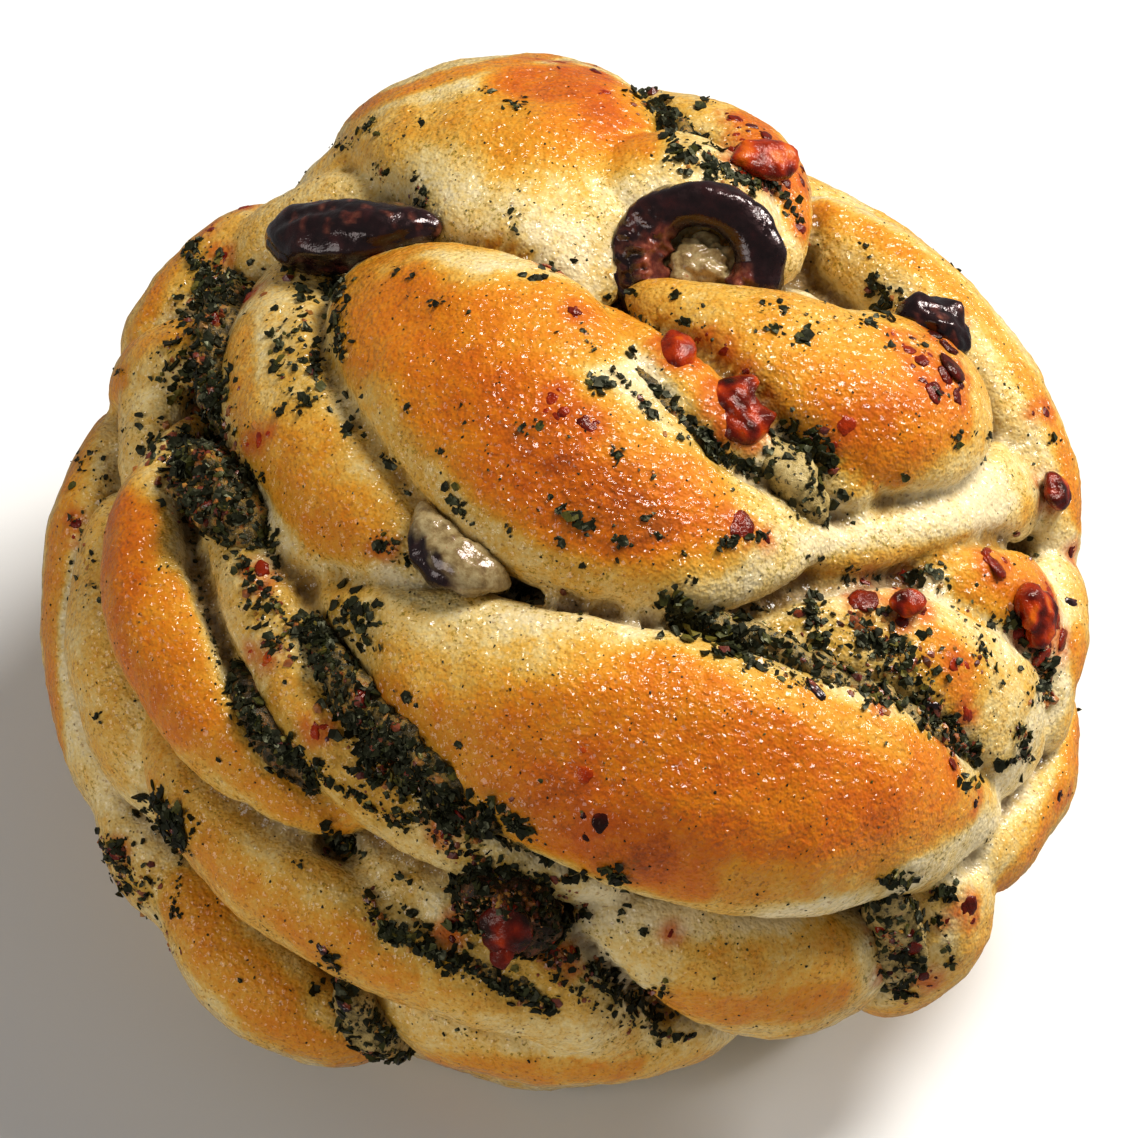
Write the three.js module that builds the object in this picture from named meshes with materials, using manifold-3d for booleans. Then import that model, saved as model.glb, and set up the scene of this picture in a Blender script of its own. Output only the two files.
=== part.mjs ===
// Olive bun: a coil of soft dough knotted into a mound, with herb filling in the creases between
// its folds, slices of dark olive and lumps of dried tomato.
// Millimetres. +Z is up, -Y faces the viewer, and the origin is on the flat base below the middle.
//
// Places on the bun are given as [azimuth, latitude] in degrees on an inner mound. Azimuth 0 faces
// the viewer, 90 is the right-hand side and 180 the back. Latitude 0 is the widest level of the
// mound and 90 its top.

import * as THREE from "three";
import { mergeVertices } from "three/addons/utils/BufferGeometryUtils.js";
import Module from "manifold-3d";

const wasm = await Module();
wasm.setup();

// ---- Driving dimensions ---------------------------------------------------------------------

// The inner mound is two half ellipsoids that meet at the height `middle`.
const MOUND = { halfWidth: 48, halfDepth: 49, rise: 40, drop: 30, middle: 26 };
const CORE_INSET = 2;
const FOOT = { radius: 34, edge: 4, height: 8, edgeSteps: 3 };
const CLEARANCE = 0.3;

// The box that cuts the base flat.
const BASE_CUT = { span: 200, depth: 40 };

// Facets round the core and the foot, and from the bottom of the core to its top.
const CORE_FACETS = { round: 24, up: 14 };

// Length of the facets along and round a roll, for broad folds and for small pieces.
const FOLD_FACETS = { along: 6.7, round: 7 };
const BACK_FACETS = { along: 9.5, round: 9 };
const PIECE_FACETS = { along: 3.6, round: 3.5 };
const FEWEST_FACETS = { along: 5, round: 7 };

// A high power keeps a roll full until close to its ends.
const END_FULLNESS = 5;

// Part of a route over which its direction is measured.
const TANGENT_STEP = 0.004;

// Waves that make a lumpy skin: radians per millimetre along X, Y and Z, and the phase.
const LUMP_WAVES = [[1.3, 0, 0.7, 0], [0, 1.1, -0.9, 2], [2.1, -1.7, 1, 0]];

// Height over the mound from which things are set down on the dough.
const DROP_HEIGHT = 80;

// A roll is a rounded bolster laid along a route over the mound:
//   route    [azimuth, latitude] of the points that its middle line passes
//   wide     half width at its fattest place
//   fattest  where that place lies along the route, from 0 to 1
//   tips     half width at the start and at the end, as shares of `wide`
//   lift     height of the middle line over the mound at the start, the fattest place and the end
//   flat     height of the section as a share of its width
//   taper    above 1 the ends are slimmer, 1 if it isn't given
//   lumpy    depth of the lumps on its skin, as a share of its half width
const FRONT_FOLDS = {
  crown: {
    route: [[-127, 58], [-112, 70], [-60, 80], [0, 74], [32, 63], [63, 50]],
    wide: 13.3, fattest: 0.42, tips: [0.48, 0.12], lift: [1, 3.5, 1], flat: 0.6,
  },
  innerRidge: {
    route: [[175, 85], [60, 81], [56, 71], [62, 58]],
    wide: 5.4, fattest: 0.5, tips: [0.5, 0.5], lift: [3, 3.5, 0], flat: 0.9,
  },
  shoulder: {
    route: [[147, 79], [98, 71], [86, 58], [92, 48], [104, 35]],
    wide: 10.6, fattest: 0.64, tips: [0.28, 0.45], lift: [2, 2.5, 1], flat: 0.72,
  },
  shoulderFoot: {
    route: [[90, 63], [76, 57], [69, 48]],
    wide: 8, fattest: 0.5, tips: [0.7, 0.5], lift: [0, 0.5, -1], flat: 0.75,
  },
  leftLoop: {
    route: [[-135, 52], [-124, 48], [-98, 55], [-70, 60], [-40, 61], [-13, 60]],
    wide: 8.8, fattest: 0.6, tips: [0.68, 0.55], lift: [-1, 0, -1], flat: 0.72,
  },
  underLoop: {
    route: [[-90, 45], [-64, 51], [-25, 56]],
    wide: 5, fattest: 0.5, tips: [0.8, 0.8], lift: [-3, -1.5, -3], flat: 0.9,
  },
  backFold: {
    route: [[-166, 22], [-168, 42], [-172, 58], [180, 84]],
    wide: 16.5, fattest: 0.3, tips: [0.9, 0.42], lift: [4, 4.5, -1], flat: 0.5,
  },
  backTip: {
    route: [[-136, 30], [-147, 39], [-170, 52]],
    wide: 8, fattest: 0.75, tips: [0.5, 0.95], lift: [1, 4, 3], flat: 0.8,
  },
  backRight: {
    route: [[180, 32], [168, 40], [152, 45], [128, 57]],
    wide: 6.9, fattest: 0.45, tips: [0.72, 0.65], lift: [2.5, 4.3, -1], flat: 0.85,
  },
  ringBed: {
    route: [[-178, 66], [153, 60], [128, 62]],
    wide: 8, fattest: 0.5, tips: [0.7, 0.6], lift: [2, 3.5, 1], flat: 0.8,
  },
  backLeft: {
    route: [[-126, 30], [-137, 40], [-153, 54]],
    wide: 6.5, fattest: 0.6, tips: [0.75, 0.9], lift: [2, 1.2, 0], flat: 0.9,
  },
  rightRim: {
    route: [[152, 40], [127, 36], [102, 24], [88, 6]],
    wide: 7.3, fattest: 0.55, tips: [0.7, 0.8], lift: [-1, 1.3, 1], flat: 0.9,
  },
  rightSweep: {
    route: [[27, 55], [47, 53], [68, 47], [87, 33], [101, 12]],
    wide: 6, fattest: 0.75, tips: [0.33, 0.8], lift: [-2, 0, 0], flat: 0.8,
  },
  rightFold: {
    route: [[26, 54], [38, 47], [51, 37], [60, 21], [67, -7]],
    wide: 9.2, fattest: 0.6, tips: [0.33, 0.42], lift: [-2, 0, -1], flat: 0.7,
  },
  rightEdge: {
    route: [[93, 10], [74, 10], [70, -6]],
    wide: 6, fattest: 0.4, tips: [0.8, 0.65], lift: [1, 1, 0], flat: 0.9,
  },
  rightBase: {
    route: [[84, -4], [65, -7], [41, 6]],
    wide: 6.8, fattest: 0.4, tips: [0.72, 0.58], lift: [0.8, 1.5, 0], flat: 0.9,
  },
  frontFold: {
    route: [[-58, 48], [-40, 50], [-9, 46], [20, 35], [39, 23], [66, -9]],
    wide: 12.9, fattest: 0.45, tips: [0.2, 0.1], lift: [0, 4, 1], flat: 0.6, taper: 1.35,
  },
  leftInner: {
    route: [[-86, 42], [-56, 42], [-30, 33], [9, 21]],
    wide: 5.5, fattest: 0.45, tips: [0.72, 0.72], lift: [-1, 0, -1], flat: 0.9,
  },
  leftFold: {
    route: [[-101, 37], [-73, 32], [-41, 26], [-23, 26]],
    wide: 5.7, fattest: 0.45, tips: [0.42, 0.33], lift: [-1, 3.6, 0], flat: 0.9,
  },
  leftUnder: {
    route: [[-98, 20], [-78, 15], [-52, 2]],
    wide: 6.5, fattest: 0.5, tips: [0.6, 0.6], lift: [-1, 0.5, -1], flat: 0.8,
  },
  leftRim: {
    route: [[-112, 18], [-94, 8], [-73, -4], [-50, -14]],
    wide: 7, fattest: 0.45, tips: [0.85, 0.7], lift: [1, 0.3, 0], flat: 0.9,
  },
  leftBand: {
    route: [[-112, 15], [-111, 26], [-110, 38]],
    wide: 5.5, fattest: 0.5, tips: [0.9, 0.8], lift: [1.5, 1.5, 0], flat: 0.9,
  },
  backRimLeft: {
    route: [[-112, 17], [-121, 23], [-140, 32]],
    wide: 6.6, fattest: 0.5, tips: [0.75, 0.9], lift: [2, 2.5, 1.5], flat: 0.9,
  },
  leftBridge: {
    route: [[-88, 24], [-104, 27], [-122, 20], [-136, 4]],
    wide: 6.5, fattest: 0.6, tips: [0.5, 0.7], lift: [-1, 0.5, 0], flat: 0.85,
  },
  lowerLeft: {
    route: [[-65, 15], [-39, 13], [-16, 10], [-2, 3], [15, -21]],
    wide: 6.2, fattest: 0.36, tips: [0.65, 0.55], lift: [0, 2, -1], flat: 0.85,
  },
  lowerMiddle: {
    route: [[-30, 21], [-10, 13], [0, 4], [13, -21]],
    wide: 6, fattest: 0.5, tips: [0.65, 0.65], lift: [-1, 0, -1], flat: 0.9,
  },
  lowerRight: {
    route: [[0, 19], [10, 13], [23, 3], [39, -10]],
    wide: 8.3, fattest: 0.75, tips: [0.35, 0.95], lift: [0, 1, 1], flat: 0.75,
  },
  seamRight: {
    route: [[40, 6], [47, -2], [38, -24]],
    wide: 7, fattest: 0.6, tips: [0.7, 0.85], lift: [-1, 3, 2], flat: 0.9,
  },
  baseLeft: {
    route: [[-58, -8], [-36, -19], [-22, -25]],
    wide: 7.6, fattest: 0.6, tips: [0.52, 0.84], lift: [0, 3.2, 2], flat: 0.85,
  },
  baseFront: {
    route: [[-29, -8], [-1, -10], [27, -19]],
    wide: 7, fattest: 0.45, tips: [0.57, 0.57], lift: [-1, -0.3, -1], flat: 0.85,
  },
  baseLeftSeam: {
    route: [[-68, -6], [-58, -12], [-48, -17]],
    wide: 6, fattest: 0.5, tips: [0.83, 1], lift: [1, 2, 0], flat: 0.9,
  },
};

const BACK_FOLDS = {
  rearCap: {
    route: [[150, 24], [181, 24], [211, 14]],
    wide: 9, fattest: 0.5, tips: [0.67, 0.67], lift: [1, 1.5, 0], flat: 0.75,
  },
  rearRight: {
    route: [[106, 8], [128, 15], [148, 23], [164, 28]],
    wide: 7.5, fattest: 0.5, tips: [0.6, 0.7], lift: [-1, 0.5, 0], flat: 0.85,
  },
  rearLeft: {
    route: [[232, 6], [218, 18], [206, 31]],
    wide: 8, fattest: 0.5, tips: [0.7, 0.7], lift: [-1, 0.5, 0], flat: 0.8,
  },
};

// The folds round the back lean against each other, each climbing to the right of the last.
const REAR = {
  count: 6, firstAzimuth: 88, step: 25.5, lean: 62,
  startLatitude: -17, latitudeStep: -1.9, climb: 37, climbStep: -4.2, climbedHalfway: 0.3,
  wide: 8.3, narrowing: 0.2, fattest: 0.5, tips: [0.6, 0.68], lift: [0, 2.2, 0], flat: 0.8,
};

// The lowest folds, tucked under round the foot, each running in under the next.
const SILL = {
  count: 6, step: 60, lean: 84, startLatitude: -45, climb: 14, climbedHalfway: 0.4,
  wide: 7.4, fattest: 0.6, tips: [0.5, 0.6], lift: [-2, 0.5, -1], flat: 0.85,
};

// Filling that shows in the creases. Each is a ribbon that runs deeper than it is wide.
const FILLINGS = {
  filling_left: {
    route: [[-127, 32], [-112, 42], [-97, 45], [-85, 48]], wide: 2.8, lift: [2, 2.5, 1.5],
  },
  filling_left_mass: {
    route: [[-89, 40], [-80, 44], [-71, 46], [-61, 46]], wide: 3.6, lift: [2, 2.8, 1.5],
  },
  filling_pocket: {
    route: [[-53, 36], [-45, 33], [-37, 31], [-29, 30]], wide: 2.5, lift: [2.5, 3.3, 3],
  },
  filling_front: {
    route: [[-46, 46], [-33, 42], [-21, 39], [-9, 34], [9, 26]], wide: 2.9, lift: [3, 4.5, 3.5],
  },
  filling_lower: {
    route: [[-14, 24], [-7, 21], [-1, 16]], wide: 3.9, lift: [2.5, 2.8, 2],
  },
  filling_strip: {
    route: [[-21, 18], [-13, 13], [-4, 9], [4, 5]], wide: 2.4, lift: [3, 3.6, 3],
  },
  filling_crossing: {
    route: [[62, 68], [59, 61], [57, 54]], wide: 2.6, lift: [3.5, 4, 3],
  },
  filling_right: {
    route: [[19, 56], [30, 50], [39, 40], [48, 28], [55, 16]], wide: 2.5, lift: [2.5, 4.5, 4],
  },
  filling_back: {
    route: [[170, 42], [162, 51], [152, 60]], wide: 2.6, lift: [6, 6.5, 4.5],
  },
  filling_low_right: {
    route: [[36, 15], [38, 3], [38, -12]], wide: 2.8, lift: [4, 5, 4.3],
  },
  filling_base_left: {
    route: [[-64, -3], [-56, -8], [-49, -13]], wide: 2.6, lift: [3, 3.8, 3],
  },
  filling_bottom: {
    route: [[-26, 4], [-23, -8], [-19, -20]], wide: 2.3, lift: [3, 4, 3.6],
  },
  filling_crown_edge: {
    route: [[101, 88], [41, 82], [42, 74], [46, 67]], wide: 2.1, lift: [6, 6.5, 5.5],
  },
};
const FILLING_SHAPE = { fattest: 0.5, tips: [0.45, 0.4], flat: 1.35, lumpy: 0.16 };

// Pieces of olive that are long or lumpy.
const OLIVES = {
  olive_wedge: {
    route: [[-125, 46], [-127, 58], [-142, 67]],
    wide: 3.9, fattest: 0.35, tips: [0.5, 0.6], lift: [6, 6, 5], flat: 0.9, lumpy: 0.07,
  },
  olive_sliver: {
    route: [[-38, 64], [-27, 60], [-12, 59]],
    wide: 2.9, fattest: 0.55, tips: [0.35, 0.4], lift: [6, 6, 4.5], flat: 0.8, lumpy: 0.06,
  },
  olive_lump: {
    route: [[106, 51], [104, 47], [101, 42]],
    wide: 3.2, fattest: 0.5, tips: [0.5, 0.5], lift: [6.5, 7.5, 7], flat: 0.8, lumpy: 0.16,
  },
};

// The ring is a crosswise slice of a pitted olive that stands in a pocket and faces the viewer.
const OLIVE_RING = {
  place: [133, 70], lift: 3.6, outer: 8.8, hole: 3.7, thick: 5, round: 1.5,
  tiltBack: 40, oval: 0.93, segments: 22, sectionPoints: 2, lumpy: 0.035,
};

// Lumps of dried tomato at least as large as a small berry.
const TOMATOES = {
  tomato_ridge_upper: {
    route: [[66, 80], [71, 76]], wide: 2.4, lift: [8, 8, 8], flat: 0.7,
  },
  tomato_ridge_lower: {
    route: [[66, 73], [61, 70], [57, 66]], wide: 3.2, lift: [7.5, 7.5, 6.5], flat: 0.7,
  },
  tomato_rim: {
    route: [[93, 25], [89, 22]], wide: 2.1, lift: [6.5, 6.5, 6.5], flat: 0.7,
  },
  tomato_edge: {
    route: [[73, 28], [72, 20]], wide: 3, lift: [6.2, 6.2, 6.2], flat: 0.7,
  },
  tomato_crust: {
    route: [[148, 53], [138, 55]], wide: 3.4, lift: [9.5, 9.8, 9], flat: 0.6,
  },
  tomato_lower: {
    route: [[-10, 21], [-4, 19]], wide: 2.3, lift: [7, 7.4, 7], flat: 0.7,
  },
  tomato_right: {
    route: [[57, 43], [55, 40]], wide: 2, lift: [5.8, 6, 5.8], flat: 0.7,
  },
};
const TOMATO_SHAPE = { fattest: 0.5, tips: [0.7, 0.7], lumpy: 0.14 };

// Herb flakes and small bits that are baked onto the dough. `spread` is in degrees.
const FLAKE = { largest: 1.7, smallest: 0.9, slimmest: 0.55, broadest: 0.95, thin: 0.42, sunk: 0.126 };
const HIGHEST_LATITUDE = 88;
const FLAKE_PATCHES = [
  { at: [-90, 60], spread: 8, count: 5 },
  { at: [-116, 38], spread: 6, count: 3 },
  { at: [-20, 76], spread: 12, count: 4 },
  { at: [30, 70], spread: 9, count: 4 },
  { at: [95, 62], spread: 7, count: 3 },
  { at: [65, 61], spread: 4, count: 2 },
  { at: [45, 43], spread: 10, count: 6 },
  { at: [68, 26], spread: 8, count: 4 },
  { at: [-36, 49], spread: 6, count: 4 },
  { at: [-175, 48], spread: 10, count: 3 },
  { at: [165, 45], spread: 8, count: 3 },
  { at: [113, 47], spread: 7, count: 3 },
  { at: [10, 17], spread: 6, count: 3 },
  { at: [42, 4], spread: 6, count: 3 },
];
const BIT = { broad: 0.8, thin: 0.7, sunk: 0.35 };
const BITS = [
  { at: [36, 61], radius: 1.7 },
  { at: [71, 59], radius: 1.2 },
  { at: [-74, 56], radius: 1.2 },
  { at: [-53, 48], radius: 1.5 },
  { at: [-29, 43], radius: 1.4 },
  { at: [3, 35], radius: 1.3 },
  { at: [2, 40], radius: 1.2 },
  { at: [48, 47], radius: 1.7 },
  { at: [68, 36], radius: 1.8 },
  { at: [-2, 79], radius: 1.4 },
  { at: [9, 76], radius: 1.3 },
  { at: [93, 47], radius: 1.4 },
];
const SEED = 20;

// ---- Materials ------------------------------------------------------------------------------

const crust = new THREE.MeshStandardMaterial({ color: 0xd9a257, roughness: 0.42, metalness: 0 });
const oliveSkin = new THREE.MeshStandardMaterial({ color: 0x2a1620, roughness: 0.25, metalness: 0 });
const herbPaste = new THREE.MeshStandardMaterial({ color: 0x33351c, roughness: 0.5, metalness: 0 });
const driedTomato = new THREE.MeshStandardMaterial({ color: 0xa3321c, roughness: 0.35, metalness: 0 });

// ---- Places on the mound --------------------------------------------------------------------

function direction([azimuth, latitude]) {
  const a = THREE.MathUtils.degToRad(azimuth);
  const b = THREE.MathUtils.degToRad(latitude);
  return new THREE.Vector3(Math.cos(b) * Math.sin(a), -Math.cos(b) * Math.cos(a), Math.sin(b));
}

function moundNormal(unit) {
  const height = unit.z >= 0 ? MOUND.rise : MOUND.drop;
  return new THREE.Vector3(unit.x / MOUND.halfWidth, unit.y / MOUND.halfDepth, unit.z / height).normalize();
}

function moundPoint(unit, lift) {
  const height = unit.z >= 0 ? MOUND.rise : MOUND.drop;
  const point = new THREE.Vector3(unit.x * MOUND.halfWidth, unit.y * MOUND.halfDepth, unit.z * height);
  point.z += MOUND.middle;
  return point.addScaledVector(moundNormal(unit), lift);
}

// ---- Random numbers and lumps ---------------------------------------------------------------

function seededRandom(seed) {
  let state = seed;
  return () => {
    state = (state + 0x6d2b79f5) | 0;
    let mixed = Math.imul(state ^ (state >>> 15), 1 | state);
    mixed = (mixed + Math.imul(mixed ^ (mixed >>> 7), 61 | mixed)) ^ mixed;
    return ((mixed ^ (mixed >>> 14)) >>> 0) / 2 ** 32;
  };
}

// A smooth bumpy factor round 1, different at each place in space.
function lumpFactor(point, strength) {
  let wave = 0;
  for (const [alongX, alongY, alongZ, phase] of LUMP_WAVES) {
    wave += Math.sin(alongX * point.x + alongY * point.y + alongZ * point.z + phase);
  }
  return 1 + (strength * wave) / 2;
}

// ---- Rolls ----------------------------------------------------------------------------------

// A value that swells from `start` to `middle` at the fattest place of a roll and falls to `end`.
function swell(t, { fattest, taper = 1 }, [start, middle, end]) {
  const before = t < fattest;
  const share = before ? t / fattest : (1 - t) / (1 - fattest);
  const full = Math.sin((Math.PI / 2) * share) ** taper;
  return (before ? start : end) * (1 - full) + middle * full;
}

// The section shrinks to a point at both ends of a roll, like the end of a bolster.
function endRounding(t) {
  return Math.sqrt(1 - Math.abs(2 * t - 1) ** END_FULLNESS);
}

function rollGeometry(roll, facets, grow = 0) {
  const curve = new THREE.CatmullRomCurve3(roll.route.map(direction), false, "catmullrom", 0.5);
  const unitAt = (t) => curve.getPointAt(THREE.MathUtils.clamp(t, 0, 1)).normalize();
  const middleAt = (t) => moundPoint(unitAt(t), swell(t, roll, roll.lift));

  const length = curve.getLength() * MOUND.halfWidth;
  const girth = Math.PI * roll.wide * (1 + roll.flat);
  const rings = Math.max(FEWEST_FACETS.along, Math.round(length / facets.along));
  const sides = Math.max(FEWEST_FACETS.round, Math.round(girth / facets.round));
  const positions = [];
  for (let ring = 1; ring < rings; ring += 1) {
    const even = ring / rings;
    const t = (even + (1 - Math.cos(Math.PI * even)) / 2) / 2;
    const middle = middleAt(t);
    const along = middleAt(t + TANGENT_STEP).sub(middleAt(t - TANGENT_STEP)).normalize();
    const normal = moundNormal(unitAt(t));
    normal.addScaledVector(along, -normal.dot(along)).normalize();
    const side = new THREE.Vector3().crossVectors(along, normal);
    const width = roll.wide * endRounding(t) * swell(t, roll, [roll.tips[0], 1, roll.tips[1]]);
    for (let corner = 0; corner < sides; corner += 1) {
      const angle = (2 * Math.PI * corner) / sides;
      const offset = new THREE.Vector3();
      offset.addScaledVector(side, width * Math.cos(angle));
      offset.addScaledVector(normal, width * roll.flat * Math.sin(angle));
      if (roll.lumpy) offset.multiplyScalar(lumpFactor(middle.clone().add(offset), roll.lumpy));
      offset.setLength(offset.length() + grow);
      positions.push(...middle.clone().add(offset).toArray());
    }
  }
  const outward = middleAt(1).sub(middleAt(1 - TANGENT_STEP)).setLength(grow);
  const inward = middleAt(0).sub(middleAt(TANGENT_STEP)).setLength(grow);
  positions.push(...middleAt(0).add(inward).toArray());
  positions.push(...middleAt(1).add(outward).toArray());
  return ringsGeometry(positions, rings - 1, sides);
}

// Joins rings of corners into a closed skin. The last two positions are the end points.
function ringsGeometry(positions, rings, sides) {
  const startPoint = rings * sides;
  const endPoint = startPoint + 1;
  const lastRing = (rings - 1) * sides;
  const index = [];
  for (let corner = 0; corner < sides; corner += 1) {
    const next = (corner + 1) % sides;
    for (let ring = 0; ring < rings - 1; ring += 1) {
      const here = ring * sides;
      index.push(here + corner, here + sides + next, here + next);
      index.push(here + corner, here + sides + corner, here + sides + next);
    }
    index.push(startPoint, corner, next);
    index.push(endPoint, lastRing + next, lastRing + corner);
  }
  const geometry = new THREE.BufferGeometry();
  geometry.setAttribute("position", new THREE.Float32BufferAttribute(positions, 3));
  geometry.setIndex(index);
  return geometry;
}

// ---- Solids ---------------------------------------------------------------------------------

function toSolid(geometry) {
  geometry.deleteAttribute("normal");
  geometry.deleteAttribute("uv");
  const merged = mergeVertices(geometry, 1e-5);
  const solid = new wasm.Manifold(
    new wasm.Mesh({
      numProp: 3,
      vertProperties: new Float32Array(merged.attributes.position.array),
      triVerts: new Uint32Array(merged.index.array),
    }),
  );
  return solid;
}

function join(solids) {
  return solids.reduce((whole, solid) => whole.add(solid));
}

// Keeps the main body, so that loose scraps go and sealed hollows are filled.
function mainBody(solid) {
  const bodies = solid.decompose();
  return bodies.reduce((best, body) => (body.volume() > best.volume() ? body : best));
}

function toMesh(name, solid, material) {
  const { vertProperties, triVerts } = solid.getMesh();
  const geometry = new THREE.BufferGeometry();
  geometry.setAttribute("position", new THREE.Float32BufferAttribute(vertProperties, 3));
  geometry.setIndex(new THREE.Uint32BufferAttribute(triVerts, 1));
  geometry.computeVertexNormals();
  const mesh = new THREE.Mesh(geometry, material);
  mesh.name = name;
  return mesh;
}

// ---- Dough ----------------------------------------------------------------------------------

function coreGeometry() {
  const geometry = new THREE.SphereGeometry(1, CORE_FACETS.round, CORE_FACETS.up);
  geometry.rotateX(Math.PI / 2);
  const position = geometry.attributes.position;
  for (let i = 0; i < position.count; i += 1) {
    const unit = new THREE.Vector3().fromBufferAttribute(position, i).normalize();
    position.setXYZ(i, ...moundPoint(unit, -CORE_INSET).toArray());
  }
  return geometry;
}

function footGeometry() {
  const profile = [new THREE.Vector2(0, 0)];
  for (let step = 0; step <= FOOT.edgeSteps; step += 1) {
    const angle = (Math.PI / 2) * (step / FOOT.edgeSteps);
    const out = FOOT.radius + FOOT.edge * Math.sin(angle);
    profile.push(new THREE.Vector2(out, FOOT.edge * (1 - Math.cos(angle))));
  }
  profile.push(new THREE.Vector2(FOOT.radius + FOOT.edge, FOOT.height));
  profile.push(new THREE.Vector2(0, FOOT.height));
  const geometry = new THREE.LatheGeometry(profile, CORE_FACETS.round);
  geometry.rotateX(Math.PI / 2);
  return geometry;
}

function belowBase() {
  const geometry = new THREE.BoxGeometry(BASE_CUT.span, BASE_CUT.span, BASE_CUT.depth);
  geometry.translate(0, 0, -BASE_CUT.depth / 2);
  return toSolid(geometry);
}

// The route of a fold that leans to the right and climbs as it goes.
function leaningRoute(azimuth, latitude, climb, { lean, climbedHalfway }) {
  return [
    [azimuth, latitude],
    [azimuth + lean / 2, latitude + climbedHalfway * climb],
    [azimuth + lean, latitude + climb],
  ];
}

function sillFolds() {
  const folds = [];
  for (let k = 0; k < SILL.count; k += 1) {
    folds.push({ ...SILL, route: leaningRoute(SILL.step * k, SILL.startLatitude, SILL.climb, SILL) });
  }
  return folds;
}

function rearFolds() {
  const folds = [];
  for (let k = 0; k < REAR.count; k += 1) {
    const azimuth = REAR.firstAzimuth + REAR.step * k;
    const latitude = REAR.startLatitude + REAR.latitudeStep * k;
    const climb = REAR.climb + REAR.climbStep * k;
    const wide = REAR.wide - REAR.narrowing * k;
    folds.push({ ...REAR, wide, route: leaningRoute(azimuth, latitude, climb, REAR) });
  }
  return folds;
}

function plainDough() {
  const solids = [toSolid(coreGeometry()), toSolid(footGeometry())];
  for (const fold of Object.values(FRONT_FOLDS)) solids.push(toSolid(rollGeometry(fold, FOLD_FACETS)));
  for (const fold of [...Object.values(BACK_FOLDS), ...rearFolds(), ...sillFolds()]) {
    solids.push(toSolid(rollGeometry(fold, BACK_FACETS)));
  }
  return mainBody(join(solids).subtract(belowBase()));
}

// ---- Herb flakes and small bits on the dough ------------------------------------------------

// Turns a small shape flat onto the surface where a line from outside first meets it.
function laidOn(surface, place, geometry, sunk, spin) {
  const unit = direction(place);
  const outside = moundPoint(unit, DROP_HEIGHT);
  const inward = moundNormal(unit).negate();
  const hit = new THREE.Raycaster(outside, inward).intersectObject(surface)[0];
  const normal = hit.face.normal;
  const turn = new THREE.Quaternion().setFromUnitVectors(new THREE.Vector3(0, 0, 1), normal);
  geometry.rotateZ(spin);
  geometry.applyQuaternion(turn);
  const seat = hit.point.clone().addScaledVector(normal, -sunk);
  geometry.translate(seat.x, seat.y, seat.z);
  return toSolid(geometry);
}

function herbFlakes(surface, random) {
  const flakes = [];
  for (const { at, spread, count } of FLAKE_PATCHES) {
    for (let k = 0; k < count; k += 1) {
      const spreadRound = spread / Math.cos(THREE.MathUtils.degToRad(at[1]));
      const azimuth = at[0] + spreadRound * (2 * random() - 1);
      const latitude = Math.min(HIGHEST_LATITUDE, at[1] + spread * (2 * random() - 1));
      const size = THREE.MathUtils.lerp(FLAKE.largest, FLAKE.smallest, (k + random()) / count);
      const broad = THREE.MathUtils.lerp(FLAKE.slimmest, FLAKE.broadest, random());
      const geometry = new THREE.OctahedronGeometry(size);
      geometry.scale(1, broad, FLAKE.thin);
      flakes.push(laidOn(surface, [azimuth, latitude], geometry, FLAKE.sunk, 2 * Math.PI * random()));
    }
  }
  return flakes;
}

function tomatoBits(surface, random) {
  return BITS.map((bit) => {
    const geometry = new THREE.IcosahedronGeometry(bit.radius, 0);
    geometry.scale(1, BIT.broad, BIT.thin);
    return laidOn(surface, bit.at, geometry, BIT.sunk * bit.radius, 2 * Math.PI * random());
  });
}

// ---- Olive ring -----------------------------------------------------------------------------

function ringSection(grow) {
  const inner = OLIVE_RING.hole - grow;
  const outer = OLIVE_RING.outer + grow;
  const half = OLIVE_RING.thick / 2 + grow;
  const round = OLIVE_RING.round;
  const corners = [
    [inner + round, -half + round, Math.PI],
    [outer - round, -half + round, 1.5 * Math.PI],
    [outer - round, half - round, 0],
    [inner + round, half - round, 0.5 * Math.PI],
  ];
  const points = [];
  for (const [x, y, start] of corners) {
    for (let step = 0; step < OLIVE_RING.sectionPoints; step += 1) {
      const angle = start + ((Math.PI / 2) * step) / (OLIVE_RING.sectionPoints - 1);
      points.push(new THREE.Vector2(x + round * Math.cos(angle), y + round * Math.sin(angle)));
    }
  }
  points.push(points[0].clone());
  return points;
}

function ringGeometry(grow = 0) {
  const geometry = new THREE.LatheGeometry(ringSection(grow), OLIVE_RING.segments);
  geometry.rotateX(Math.PI / 2);
  const position = geometry.attributes.position;
  for (let i = 0; i < position.count; i += 1) {
    const point = new THREE.Vector3().fromBufferAttribute(position, i);
    const lump = lumpFactor(point, OLIVE_RING.lumpy);
    position.setXYZ(i, point.x * lump, point.y * lump * OLIVE_RING.oval, point.z * lump);
  }
  geometry.rotateX(THREE.MathUtils.degToRad(OLIVE_RING.tiltBack));
  const seat = moundPoint(direction(OLIVE_RING.place), OLIVE_RING.lift);
  geometry.translate(seat.x, seat.y, seat.z);
  return geometry;
}

// ---- Pieces in and on the dough -------------------------------------------------------------

// Each piece knows its own shape and the slightly larger one that its neighbours keep clear of.
function rollPiece(name, roll, material) {
  const solid = toSolid(rollGeometry(roll, PIECE_FACETS));
  const room = toSolid(rollGeometry(roll, PIECE_FACETS, CLEARANCE));
  return { name, solid, room, material };
}

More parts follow.
